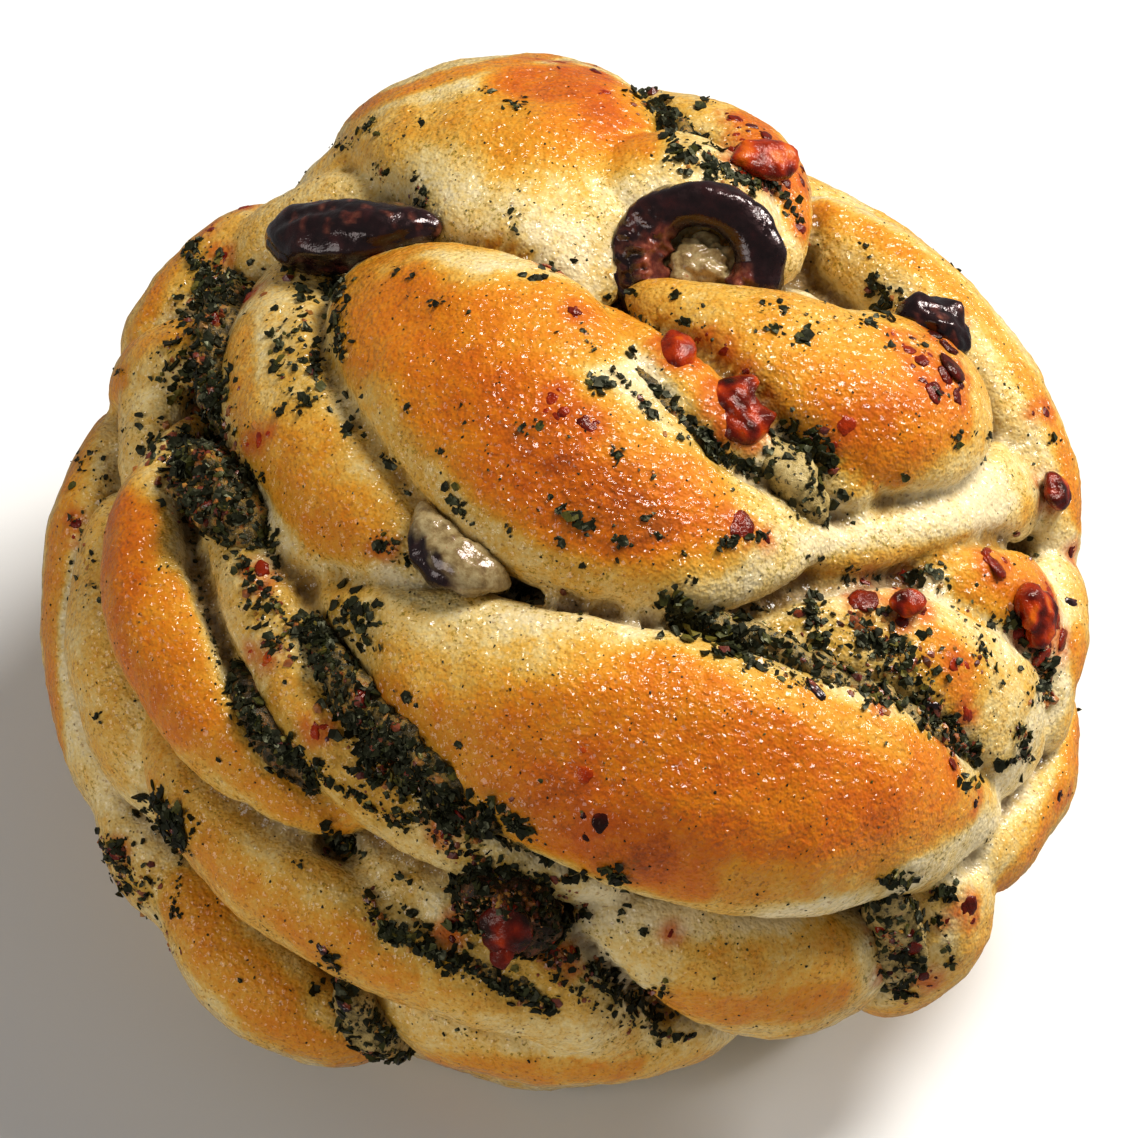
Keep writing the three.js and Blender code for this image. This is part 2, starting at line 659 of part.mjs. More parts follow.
function allPieces() {
  const ring = { solid: toSolid(ringGeometry()), room: toSolid(ringGeometry(CLEARANCE)) };
  const pieces = [{ name: "olive_ring", material: oliveSkin, ...ring }];
  for (const [name, roll] of Object.entries(OLIVES)) pieces.push(rollPiece(name, roll, oliveSkin));
  for (const [name, roll] of Object.entries(TOMATOES)) {
    pieces.push(rollPiece(name, { ...TOMATO_SHAPE, ...roll }, driedTomato));
  }
  for (const [name, roll] of Object.entries(FILLINGS)) {
    pieces.push(rollPiece(name, { ...FILLING_SHAPE, ...roll }, herbPaste));
  }
  return pieces;
}

// ---- The bun --------------------------------------------------------------------------------

const bun = new THREE.Group();
const bareDough = plainDough();
const surface = toMesh("surface", bareDough, crust);
const random = seededRandom(SEED);
let dough = join([bareDough, ...herbFlakes(surface, random), ...tomatoBits(surface, random)]);

let taken = null;
for (const piece of allPieces()) {
  const trimmed = taken ? mainBody(piece.solid.subtract(taken)) : piece.solid;
  bun.add(toMesh(piece.name, trimmed, piece.material));
  taken = taken ? taken.add(piece.room) : piece.room;
}
dough = mainBody(dough.subtract(taken));
bun.add(toMesh("dough", dough, crust));

export default bun;
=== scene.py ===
"""Olive bun: how the part looks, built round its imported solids.

Lengths are in millimetres until a mesh is made, and meshes are in metres.
Places are (azimuth, latitude) in degrees on the inner mound, as in the solids, or (x, y) in the
photo's frame of 1138 by 1138 pixels, cast from the camera onto the bun.
"""

import math

import bmesh
import bpy
import numpy as np
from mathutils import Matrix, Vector
from mathutils.bvhtree import BVHTree


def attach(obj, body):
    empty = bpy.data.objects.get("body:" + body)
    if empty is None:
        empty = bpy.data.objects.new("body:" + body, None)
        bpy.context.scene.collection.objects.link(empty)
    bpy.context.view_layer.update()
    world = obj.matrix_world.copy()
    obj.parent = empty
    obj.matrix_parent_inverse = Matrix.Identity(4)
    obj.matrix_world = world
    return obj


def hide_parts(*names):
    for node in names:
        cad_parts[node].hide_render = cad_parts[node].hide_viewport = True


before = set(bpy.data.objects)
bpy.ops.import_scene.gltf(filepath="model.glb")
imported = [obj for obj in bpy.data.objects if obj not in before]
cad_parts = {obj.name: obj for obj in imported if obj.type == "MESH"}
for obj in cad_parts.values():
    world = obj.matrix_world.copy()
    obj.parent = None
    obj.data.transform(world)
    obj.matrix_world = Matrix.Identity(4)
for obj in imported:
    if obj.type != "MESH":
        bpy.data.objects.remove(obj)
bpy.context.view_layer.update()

MM = 0.001

# ---- Camera of the photo, light and floor ----------------------------------------------------

PHOTO_SIDE = 1138
CAMERA_ELEVATION = math.radians(52)
CAMERA_DISTANCE = 650.0
PIXELS_PER_MM = 9.75
TARGET = np.array([0.0, 0.0, 33.0])
SENSOR = 36.0
FOCAL_PIXELS = PIXELS_PER_MM * CAMERA_DISTANCE
VIEW_BACK = np.array([0.0, -math.cos(CAMERA_ELEVATION), math.sin(CAMERA_ELEVATION)])
VIEW_RIGHT = np.array([1.0, 0.0, 0.0])
VIEW_UP = np.cross(VIEW_BACK, VIEW_RIGHT)
EYE = TARGET + CAMERA_DISTANCE * VIEW_BACK

# Lights: name, place and width in metres, watts and colour. All face the middle of the bun.
LIGHTS = [
    ("overhead", (0.48, 0.34, 0.84), 0.4, 12.6, (1, 0.97, 0.92)),
    ("side", (0.75, 0.4, 0.4), 0.2, 4.2, (1, 0.97, 0.92)),
    ("left fill", (-0.8, -0.55, 0.45), 0.6, 3.6, (1, 0.97, 0.93))]
LIT_PLACE = (0, 0, 0.03)
ROOM_LIGHT = 0.18
FLOOR_SIDE = 6

# ---- Shape of the bun ------------------------------------------------------------------------

# The inner mound that the folds lie on, how far the body under them is inset from it, and the
# rounded foot below.
MOUND = dict(half_width=48.0, half_depth=49.0, rise=40.0, drop=30.0, middle=26.0)
CORE_INSET = 2.0
CORE_COLUMNS, CORE_ROWS = 72, 40
FOOT = dict(radius=34.0, edge=4.0, height=8.0)
FOOT_COLUMNS, FOOT_STEPS = 72, 6
# How blunt the ends of a roll are.
END_FULLNESS = 5
# Facets of the dough's rolls, of the smaller pieces, and of the tomato.
ROLL_FACET = 1.5
PIECE_FACET = 0.32
TOMATO_FACET = 0.22
# The rolls are melted into one body with this grain, then softened for some rounds above the
# base, which stays as it is up to this height.
VOXEL = 0.75
SOFTENING = 2
BASE_SKIN = 0.05
# Pits and creases are worked, and relief is raised, only above these heights.
ABOVE_BASE = (1.0, 4.0)
RELIEF_ABOVE = (0.5, 4.0)
# Relief of the crust: grain and height in millimetres, and seed.
RELIEF = [(12.0, 0.15, 1), (4.6, 0.045, 2), (1.7, 0.035, 3)]
# Pits deeper than these millimetres are partly filled.
PIT_ROUNDS = 110
PIT_DEPTHS = (1.6, 3.6)
PIT_FILL = 0.75
# Creases are drawn in by so many times what they dip past the least, up to a limit in
# millimetres, and get painted shade, a darker crust colour, between these shares of that limit.
CREASE_ROUNDS = 11
CREASE_GAIN = 5.5
CREASE_LEAST = 0.02
CREASE_LIMIT = 1.6
CREASE_SHADES = (0.12, 0.75)

# ---- Colour of the crust ---------------------------------------------------------------------

# Shades of the crust from the palest cream to the deepest orange brown.
CRUST_STOPS = [
    (0, (230, 212, 166)), (0.14, (223, 195, 126)), (0.3, (215, 166, 70)), (0.46, (210, 140, 34)),
    (0.64, (206, 117, 14)), (0.82, (192, 91, 5)), (1.0, (140, 50, 3))]
# Where no stroke tells, the crust browns with its height above the broad shape round it.
CREST_ROUNDS = 130
CREST_HEIGHTS = (-1.0, 4.0)
CREST_BROWN = 0.75
# Each fold is a little paler or darker than the next, and the crust is paler towards the base.
FOLD_TONE = 0.1
BASE_PALE = 0.4
BASE_PALE_HEIGHTS = (0, 16)
# What a place's own browning weighs against strokes, and the pace of dots along one in pixels.
BASE_WEIGHT = 0.14
STROKE_PACE = 7
# A stroke fades between these shares of its radius, and counts so much on folds that it isn't on.
STROKE_EDGE = (0.25, 1.9)
OTHER_FOLD = 0.12
# Browning is evened out where the crust faces away from the camera, between these cosines.
AWAY_ROUNDS = 60
AWAY = (-0.3, 0.2)
# The folds on the left are baked more evenly, nearer to this than the rest, from so many
# millimetres to the left of the middle.
EVEN_BAKE = 0.1
EVEN_SHARE = 0.3
EVEN_REACH = (6, 28)
# Hollows this deep, in millimetres, get painted shade as well as the creases.
PIT_SHADES = (0.9, 2.6)
PIT_SHADE = 0.85
# Tomato stains the dough this far round it.
STAIN_REACH = 1.8
# Herbs are counted in cells of this size, and this many near a point stain the dough fully.
HERB_CELL = 1.1
HERB_CROWD = 1.3

# ---- Small things on the crust ---------------------------------------------------------------

FLAKE_CORNERS = 6
# A flake at least this wide has a curl and a thickness, and a smaller one is a sharp chip.
THICK_FLAKE = 0.85
# A flake wider than this many pixels has smaller ones about it.
TORN_FLAKE = 8
# Masses of herb spread past their strokes and hold more flakes than counted there, from the
# least width in pixels to so many times the largest one given.
MASS_SPREAD = 1.2
MASS_COUNT = 1.45
MASS_LEAST = 2.4
MASS_LARGEST = 1.3
# Flakes on each square millimetre of filling, and how near its skin they lie.
PASTE_FLAKES = 1.6
PASTE_REACH = 0.4
# How steeply flakes may lie, by where they are.
TILT = dict(lone=0.32, mass=0.55, paste=0.6, speck=0.2, hidden=0.5)
# Flakes that may lie steeper than this stain the dough, which leaves out the specks.
HERB_TILT = 0.3
# Width of a crumb against a flake's.
CRUMB_SIZE = 0.75
# The finest specks are cast all over the photo's frame, between these pixels both ways.
SPECKS = 1500
SPECK_RANGE = (40, 1100)
# What the camera doesn't see: how many of each, and the share of them that lies in creases.
HIDDEN_HERBS = (420, 0.85)
HIDDEN_TOMATOES = (16, 0.4)
HIDDEN_OLIVES = (5, 0.8)
# Each of those places of herbs has fewer than this many, with this share of crumbs.
HIDDEN_GROUP = 9
HIDDEN_CRUMBS = 0.2
# Height of a bit of tomato and of olive, as a share of its width.
TOMATO_HEIGHT = 0.3
OLIVE_HEIGHT = 0.5

# ---- Folds of the dough, fillings, olives and tomatoes ---------------------------------------

# A mass of filling is sunk in and flattened, as the flakes on it make up its height. Tomatoes
# are sunk in too.
PASTE_SUNK = 0.5
PASTE_FLAT = 1.35 * 0.86
TOMATO_SUNK = 0.6
TOMATO_FLAT = 0.72


def fold(route, wide, fattest, tips, lift, flat, taper=1):
    """A roll is a rounded bolster laid along a route over the mound.

    wide is its half width, fattest where along it that is, tips the share of it at the ends, lift
    its height over the mound at start, middle and end, and flat its thickness against its width.
    """
    return dict(route=route, wide=wide, fattest=fattest, tips=tips, lift=lift, flat=flat, taper=taper)


def ribbon(route, wide, lift):
    """A mass of filling along a crease."""
    return fold(route, wide, 0.5, (0.45, 0.4), tuple(height - PASTE_SUNK for height in lift), PASTE_FLAT)


def lump(route, wide, lift, flat):
    """A lump of dried tomato."""
    lift = tuple(height - TOMATO_SUNK for height in lift)
    return fold(route, wide, 0.5, (0.7, 0.7), lift, flat * TOMATO_FLAT)


FRONT_FOLDS = {
    "crown": fold(
        [(-127, 58), (-112, 70), (-60, 80), (0, 74), (32, 63), (63, 50)],
        13.3, 0.42, (0.48, 0.12), (1, 3.5, 1), 0.6),
    "innerRidge": fold(
        [(175, 85), (60, 81), (56, 71), (62, 58)], 5.4, 0.5, (0.5, 0.5), (3, 3.5, 0), 0.9),
    "shoulder": fold(
        [(147, 79), (98, 71), (86, 58), (92, 48), (104, 35)], 10.6, 0.64, (0.28, 0.45), (2, 2.5, 1), 0.72),
    "shoulderFoot": fold([(90, 63), (76, 57), (69, 48)], 8, 0.5, (0.7, 0.5), (0, 0.5, -1), 0.75),
    "leftLoop": fold(
        [(-135, 52), (-124, 48), (-98, 55), (-70, 60), (-40, 61), (-13, 60)],
        8.8, 0.6, (0.68, 0.55), (-1, 0, -1), 0.72),
    "underLoop": fold([(-90, 45), (-64, 51), (-25, 56)], 5, 0.5, (0.8, 0.8), (-3, -1.5, -3), 0.9),
    "backFold": fold(
        [(-166, 22), (-168, 42), (-172, 58), (180, 84)], 16.5, 0.3, (0.9, 0.42), (4, 4.5, -1), 0.5),
    "backTip": fold([(-136, 30), (-147, 39), (-170, 52)], 8, 0.75, (0.5, 0.95), (1, 4, 3), 0.8),
    "backRight": fold(
        [(180, 32), (168, 40), (152, 45), (128, 57)], 6.9, 0.45, (0.72, 0.65), (2.5, 4.3, -1), 0.85),
    "ringBed": fold([(-178, 66), (153, 60), (128, 62)], 8, 0.5, (0.7, 0.6), (2, 3.5, 1), 0.8),
    "backLeft": fold([(-126, 30), (-137, 40), (-153, 54)], 6.5, 0.6, (0.75, 0.9), (2, 1.2, 0), 0.9),
    "rightRim": fold(
        [(152, 40), (127, 36), (102, 24), (88, 6)], 7.3, 0.55, (0.7, 0.8), (-1, 1.3, 1), 0.9),
    "rightSweep": fold(
        [(27, 55), (47, 53), (68, 47), (87, 33), (101, 12)], 6, 0.75, (0.33, 0.8), (-2, 0, 0), 0.8),
    "rightFold": fold(
        [(26, 54), (38, 47), (51, 37), (60, 21), (67, -7)], 9.2, 0.6, (0.33, 0.42), (-2, 0, -1), 0.7),
    "rightEdge": fold([(93, 10), (74, 10), (70, -6)], 6, 0.4, (0.8, 0.65), (1, 1, 0), 0.9),
    "rightBase": fold([(84, -4), (65, -7), (41, 6)], 6.8, 0.4, (0.72, 0.58), (0.8, 1.5, 0), 0.9),
    "frontFold": fold(
        [(-58, 48), (-40, 50), (-9, 46), (20, 35), (39, 23), (66, -9)],
        12.9, 0.45, (0.2, 0.1), (0, 4, 1), 0.6, taper=1.35),
    "leftInner": fold(
        [(-86, 42), (-56, 42), (-30, 33), (9, 21)], 5.5, 0.45, (0.72, 0.72), (-1, 0, -1), 0.9),
    "leftFold": fold(
        [(-101, 37), (-73, 32), (-41, 26), (-23, 26)], 5.7, 0.45, (0.42, 0.33), (-1, 3.6, 0), 0.9),
    "leftUnder": fold([(-98, 20), (-78, 15), (-52, 2)], 6.5, 0.5, (0.6, 0.6), (-1, 0.5, -1), 0.8),
    "leftRim": fold(
        [(-112, 18), (-94, 8), (-73, -4), (-50, -14)], 7, 0.45, (0.85, 0.7), (1, 0.3, 0), 0.9),
    "leftBand": fold([(-112, 15), (-111, 26), (-110, 38)], 5.5, 0.5, (0.9, 0.8), (1.5, 1.5, 0), 0.9),
    "backRimLeft": fold([(-112, 17), (-121, 23), (-140, 32)], 6.6, 0.5, (0.75, 0.9), (2, 2.5, 1.5), 0.9),
    "leftBridge": fold(
        [(-88, 24), (-104, 27), (-122, 20), (-136, 4)], 6.5, 0.6, (0.5, 0.7), (-1, 0.5, 0), 0.85),
    "lowerLeft": fold(
        [(-65, 15), (-39, 13), (-16, 10), (-2, 3), (15, -21)], 6.2, 0.36, (0.65, 0.55), (0, 2, -1), 0.85),
    "lowerMiddle": fold(
        [(-30, 21), (-10, 13), (0, 4), (13, -21)], 6, 0.5, (0.65, 0.65), (-1, 0, -1), 0.9),
    "lowerRight": fold(
        [(0, 19), (10, 13), (23, 3), (39, -10)], 8.3, 0.75, (0.35, 0.95), (0, 1, 1), 0.75),
    "seamRight": fold([(40, 6), (47, -2), (38, -24)], 7, 0.6, (0.7, 0.85), (-1, 3, 2), 0.9),
    "baseLeft": fold([(-58, -8), (-36, -19), (-22, -25)], 7.6, 0.6, (0.52, 0.84), (0, 3.2, 2), 0.85),
    "baseFront": fold([(-29, -8), (-1, -10), (27, -19)], 7, 0.45, (0.57, 0.57), (-1, -0.3, -1), 0.85),
    "baseLeftSeam": fold([(-68, -6), (-58, -12), (-48, -17)], 6, 0.5, (0.83, 1), (1, 2, 0), 0.9),
}

BACK_FOLDS = {
    "rearCap": fold([(150, 24), (181, 24), (211, 14)], 9, 0.5, (0.67, 0.67), (1, 1.5, 0), 0.75),
    "rearRight": fold(
        [(106, 8), (128, 15), (148, 23), (164, 28)], 7.5, 0.5, (0.6, 0.7), (-1, 0.5, 0), 0.85),
    "rearLeft": fold([(232, 6), (218, 18), (206, 31)], 8, 0.5, (0.7, 0.7), (-1, 0.5, 0), 0.8),
}

FILLINGS = {
    "filling_left": ribbon([(-127, 32), (-112, 42), (-97, 45), (-85, 48)], 2.8, (2, 2.5, 1.5)),
    "filling_left_mass": ribbon([(-89, 40), (-80, 44), (-71, 46), (-61, 46)], 3.6, (2, 2.8, 1.5)),
    "filling_pocket": ribbon([(-53, 36), (-45, 33), (-37, 31), (-29, 30)], 2.5, (2.5, 3.3, 3)),
    "filling_front": ribbon([(-46, 46), (-33, 42), (-21, 39), (-9, 34), (9, 26)], 2.9, (3, 4.5, 3.5)),
    "filling_lower": ribbon([(-14, 24), (-7, 21), (-1, 16)], 3.9, (2.5, 2.8, 2)),
    "filling_strip": ribbon([(-21, 18), (-13, 13), (-4, 9), (4, 5)], 2.4, (3, 3.6, 3)),
    "filling_crossing": ribbon([(62, 68), (59, 61), (57, 54)], 2.6, (3.5, 4, 3)),
    "filling_right": ribbon([(19, 56), (30, 50), (39, 40), (48, 28), (55, 16)], 2.5, (2.5, 4.5, 4)),
    "filling_back": ribbon([(170, 42), (162, 51), (152, 60)], 2.6, (6, 6.5, 4.5)),
    "filling_low_right": ribbon([(36, 15), (38, 3), (38, -12)], 2.8, (4, 5, 4.3)),
    "filling_base_left": ribbon([(-64, -3), (-56, -8), (-49, -13)], 2.6, (3, 3.8, 3)),
    "filling_bottom": ribbon([(-26, 4), (-23, -8), (-19, -20)], 2.3, (3, 4, 3.6)),
    "filling_crown_edge": ribbon([(101, 88), (41, 82), (42, 74), (46, 67)], 2.1, (6, 6.5, 5.5)),
}

OLIVES = {
    "olive_wedge": fold([(-125, 46), (-127, 58), (-142, 67)], 3.9, 0.35, (0.5, 0.6), (6, 6, 5), 0.9),
    "olive_sliver": fold([(-38, 64), (-27, 60), (-12, 59)], 2.9, 0.55, (0.35, 0.4), (6, 6, 4.5), 0.8),
    "olive_lump": fold([(106, 51), (104, 47), (101, 42)], 3.2, 0.5, (0.5, 0.5), (6.5, 7.5, 7), 0.8),
}

TOMATOES = {
    "tomato_ridge_upper": lump([(66, 80), (71, 76)], 2.4, (8, 8, 8), 0.7),
    "tomato_ridge_lower": lump([(66, 73), (61, 70), (57, 66)], 3.2, (7.5, 7.5, 6.5), 0.7),
    "tomato_rim": lump([(93, 25), (89, 22)], 2.1, (6.5, 6.5, 6.5), 0.7),
    "tomato_edge": lump([(73, 28), (72, 20)], 3, (6.2, 6.2, 6.2), 0.7),
    "tomato_crust": lump([(148, 53), (138, 55)], 3.4, (9.5, 9.8, 9), 0.6),
    "tomato_lower": lump([(-10, 21), (-4, 19)], 2.3, (7, 7.4, 7), 0.7),
    "tomato_right": lump([(57, 43), (55, 40)], 2, (5.8, 6, 5.8), 0.7),
}

# Rings of folds that lean to the right, round the back and round the base.
REAR = dict(
    count=6, first_azimuth=88, step=25.5, lean=62,
    start_latitude=-17, latitude_step=-1.9, climb=37, climb_step=-4.2, climbed_halfway=0.3,
    wide=8.3, narrowing=0.2, fattest=0.5, tips=(0.6, 0.68), lift=(0, 2.2, 0), flat=0.8)
SILL = dict(
    count=6, first_azimuth=0, step=60, lean=84,
    start_latitude=-45, latitude_step=0, climb=14, climb_step=0, climbed_halfway=0.4,
    wide=7.4, narrowing=0, fattest=0.6, tips=(0.5, 0.6), lift=(-2, 0.5, -1), flat=0.85)

# A broad fold under the one on the right, out to the rim, too thin to matter for the outline.
RIGHT_LEAF = fold([(62, 40), (72, 28), (76, 12), (72, -4)], 7.6, 0.6, (0.6, 0.6), (-0.5, 0.6, -0.5), 0.65)

# The slice of olive, rounder than its solid, with pale filling low in its hole.
OLIVE_RING = dict(
    place=(133, 70), lift=3.6, outer=8.8, hole=3.7, thick=5.0, round=2.2, tilt_back=40, oval=0.93)
RING_FILLING = dict(half_size=np.array([3.7, 3.1, 2.0]), middle=np.array([0.2, -0.7, -0.4]))
RING_TURNS, RING_STEPS = 200, 14

# How dark purple brown the paste of some fillings is, its own colour in the lower filling and painted
# shade in the pocket, and how pale that of others is.
PURPLE_AND_SHADED_FILLINGS = {"filling_lower": 0.8, "filling_pocket": 0.5}
HONEY_FILLINGS = {
    "filling_crossing": 0.9, "filling_right": 0.35, "filling_low_right": 0.45, "filling_bottom": 0.5}
# How dark some pieces of tomato are, and the rest.
TOMATO_TONES = {
    "tomato_ridge_lower": 0.55, "tomato_rim": 0.75, "tomato_lower": 0.8, "tomato_crust": 0.35}
TOMATO_TONE = 0.5


# ---- What the photo shows, by place in its frame ---------------------------------------------

# Strokes of browning: points, radius in pixels, and how brown the crust is there, from 0 for the
# palest cream to 1 for the deepest orange brown.
BROWNING = [
    # The darkest place, low on the broad fold across the front.
    ([(556, 796), (596, 830), (648, 860)], 24, 1.0),
    # High fold at the back.
    ([(310, 145), (340, 116), (400, 90), (480, 66), (550, 54)], 13, 0.62),
    ([(340, 160), (400, 135), (450, 130)], 30, 0.34),
    ([(430, 175), (470, 215), (490, 260)], 38, 0.12),
    ([(500, 120), (530, 150), (560, 170)], 40, 0.5),
    ([(540, 85), (585, 80), (615, 100), (620, 125)], 34, 0.92),
    ([(570, 135), (610, 150)], 34, 0.7),
    ([(530, 215), (590, 190), (620, 215), (560, 250)], 42, 0.04),
    ([(650, 110), (690, 120), (715, 135)], 30, 0.3),
    ([(755, 120), (790, 165), (800, 215)], 16, 0.78),
    ([(760, 215), (780, 260), (800, 280)], 22, 0.14),
    # Right rim.
    ([(840, 240), (890, 275), (950, 300)], 34, 0.22),
    ([(1000, 345), (1030, 420), (1010, 450)], 34, 0.16),
    ([(815, 212), (870, 232), (930, 268), (985, 318), (1035, 390), (1068, 460), (1086, 530)],
     13, 0.72),
    # Shoulder and the ridge inside it.
    ([(640, 300), (700, 315), (760, 320), (830, 322)], 20, 0.34),
    ([(720, 350), (790, 365), (860, 350), (930, 350)], 34, 0.46),
    ([(840, 400), (890, 420), (930, 400)], 38, 0.84),
    ([(870, 470), (910, 455), (950, 425)], 24, 0.6),
    ([(860, 515), (910, 495), (955, 460)], 14, 0.16),
    ([(620, 310), (680, 345), (730, 400)], 24, 0.56),
    ([(690, 425), (720, 445)], 18, 0.3),
    # Crown.
    ([(345, 300), (365, 265), (430, 243), (510, 250)], 18, 0.56),
    ([(400, 320), (440, 370), (500, 400)], 50, 0.82),
    ([(430, 330), (520, 300), (580, 320)], 34, 0.66),
    ([(520, 440), (580, 480), (640, 510), (700, 525)], 44, 1.0),
    ([(600, 420), (650, 460), (700, 490)], 24, 0.52),
    ([(375, 400), (400, 460), (450, 525), (510, 570), (600, 588), (680, 580)], 20, 0.24),
    ([(740, 500), (790, 520), (760, 560), (700, 572)], 26, 0.14),
    # Loop to the left.
    ([(300, 290), (320, 330), (300, 380)], 30, 0.26),
    ([(290, 430), (320, 460)], 24, 0.5),
    ([(238, 330), (240, 400), (268, 470)], 14, 0.52),
    ([(285, 470), (320, 515), (355, 520)], 28, 0.66),
    ([(370, 450), (420, 520), (480, 575)], 26, 0.26),
    # Behind the wedge of olive, and the left rim above.
    ([(330, 180), (370, 190), (300, 200)], 30, 0.16),
    ([(275, 190), (235, 225), (190, 275)], 22, 0.32),
    ([(290, 165), (230, 205), (175, 260), (130, 345)], 10, 0.6),
    ([(140, 400), (170, 380), (110, 430)], 24, 0.14),
    # Left rim.
    ([(120, 380), (82, 450), (56, 540), (47, 620), (50, 690), (62, 760), (85, 830)], 13, 0.7),
    ([(92, 500), (82, 580), (88, 660), (104, 740)], 22, 0.28),
    # Fold on the left.
    ([(160, 445), (185, 470), (160, 480)], 20, 0.16),
    ([(118, 520), (118, 590), (140, 660), (170, 710)], 26, 0.92),
    ([(165, 600), (190, 680), (235, 750)], 20, 0.74),
    ([(182, 505), (196, 570), (212, 630), (236, 700), (266, 755)], 14, -0.15),
    ([(225, 745), (280, 795), (350, 818)], 17, 0.6),
    # Fold inside it.
    ([(212, 540), (228, 600), (252, 670)], 24, 0.16),
    ([(285, 700), (335, 760), (385, 805)], 18, 0.42),
    # Broad fold across the front.
    ([(300, 590), (360, 600)], 20, 0.24),
    ([(380, 612), (460, 625), (540, 618), (620, 620)], 19, 0.06),
    ([(400, 660), (500, 662), (590, 656)], 26, 0.3),
    ([(400, 710), (480, 725), (560, 720)], 30, 0.68),
    ([(600, 700), (680, 705), (760, 735), (850, 765), (930, 795)], 38, 0.78),
    ([(500, 780), (580, 795), (660, 805), (760, 805), (850, 810)], 44, 0.86),
    ([(325, 655), (370, 712), (430, 772), (500, 822)], 13, 0.3),
    ([(545, 826), (610, 858), (690, 882)], 20, 0.8),
    ([(740, 884), (810, 880), (880, 862)], 18, 0.5),
    ([(900, 850), (960, 820), (990, 792)], 15, 0.5),
    ([(700, 648), (760, 688), (830, 722), (900, 755)], 11, 0.26),
    # Pale band and the folds on the right.
    ([(700, 598), (800, 550), (900, 522), (1010, 492)], 17, 0.0),
    ([(800, 575), (900, 558), (1000, 548)], 13, 0.4),
    ([(980, 590), (1040, 580)], 24, 0.6),
    ([(780, 620), (850, 640), (900, 690)], 30, 0.22),
    ([(940, 660), (970, 690)], 22, 0.62),
    ([(1000, 700), (990, 750)], 26, 0.2),
    ([(1050, 690), (1020, 770), (970, 840), (910, 880)], 20, 0.0),
    ([(1080, 640), (1082, 720), (1066, 790), (1035, 850), (1000, 890)], 12, 0.58),
    # Bands below.
    ([(190, 790), (240, 850), (310, 905)], 22, 0.26),
    ([(180, 810), (240, 890), (320, 950), (400, 975)], 14, 0.6),
    ([(240, 880), (300, 925), (350, 950)], 18, 0.66),
    ([(400, 850), (440, 885), (420, 910)], 26, 0.12),
    ([(600, 905), (690, 922), (780, 918), (850, 908)], 17, 0.0),
    ([(700, 962), (780, 965), (850, 950)], 22, 0.36),
    ([(660, 1000), (740, 1012), (830, 1000)], 16, 0.55),
    ([(640, 950), (660, 960)], 18, 0.2),
    ([(862, 940), (876, 985)], 11, 0.06),
    ([(925, 920), (930, 950)], 24, 0.18),
    ([(190, 900), (220, 960), (270, 1000)], 24, 0.62),
    ([(260, 1020), (320, 1050), (370, 1068)], 16, 0.66),
    ([(240, 905), (300, 960), (340, 1010)], 16, 0.22),
    ([(410, 1010), (500, 1030), (600, 1045)], 17, 0.16),
    ([(440, 1065), (530, 1074), (620, 1068)], 15, 0.56),
]

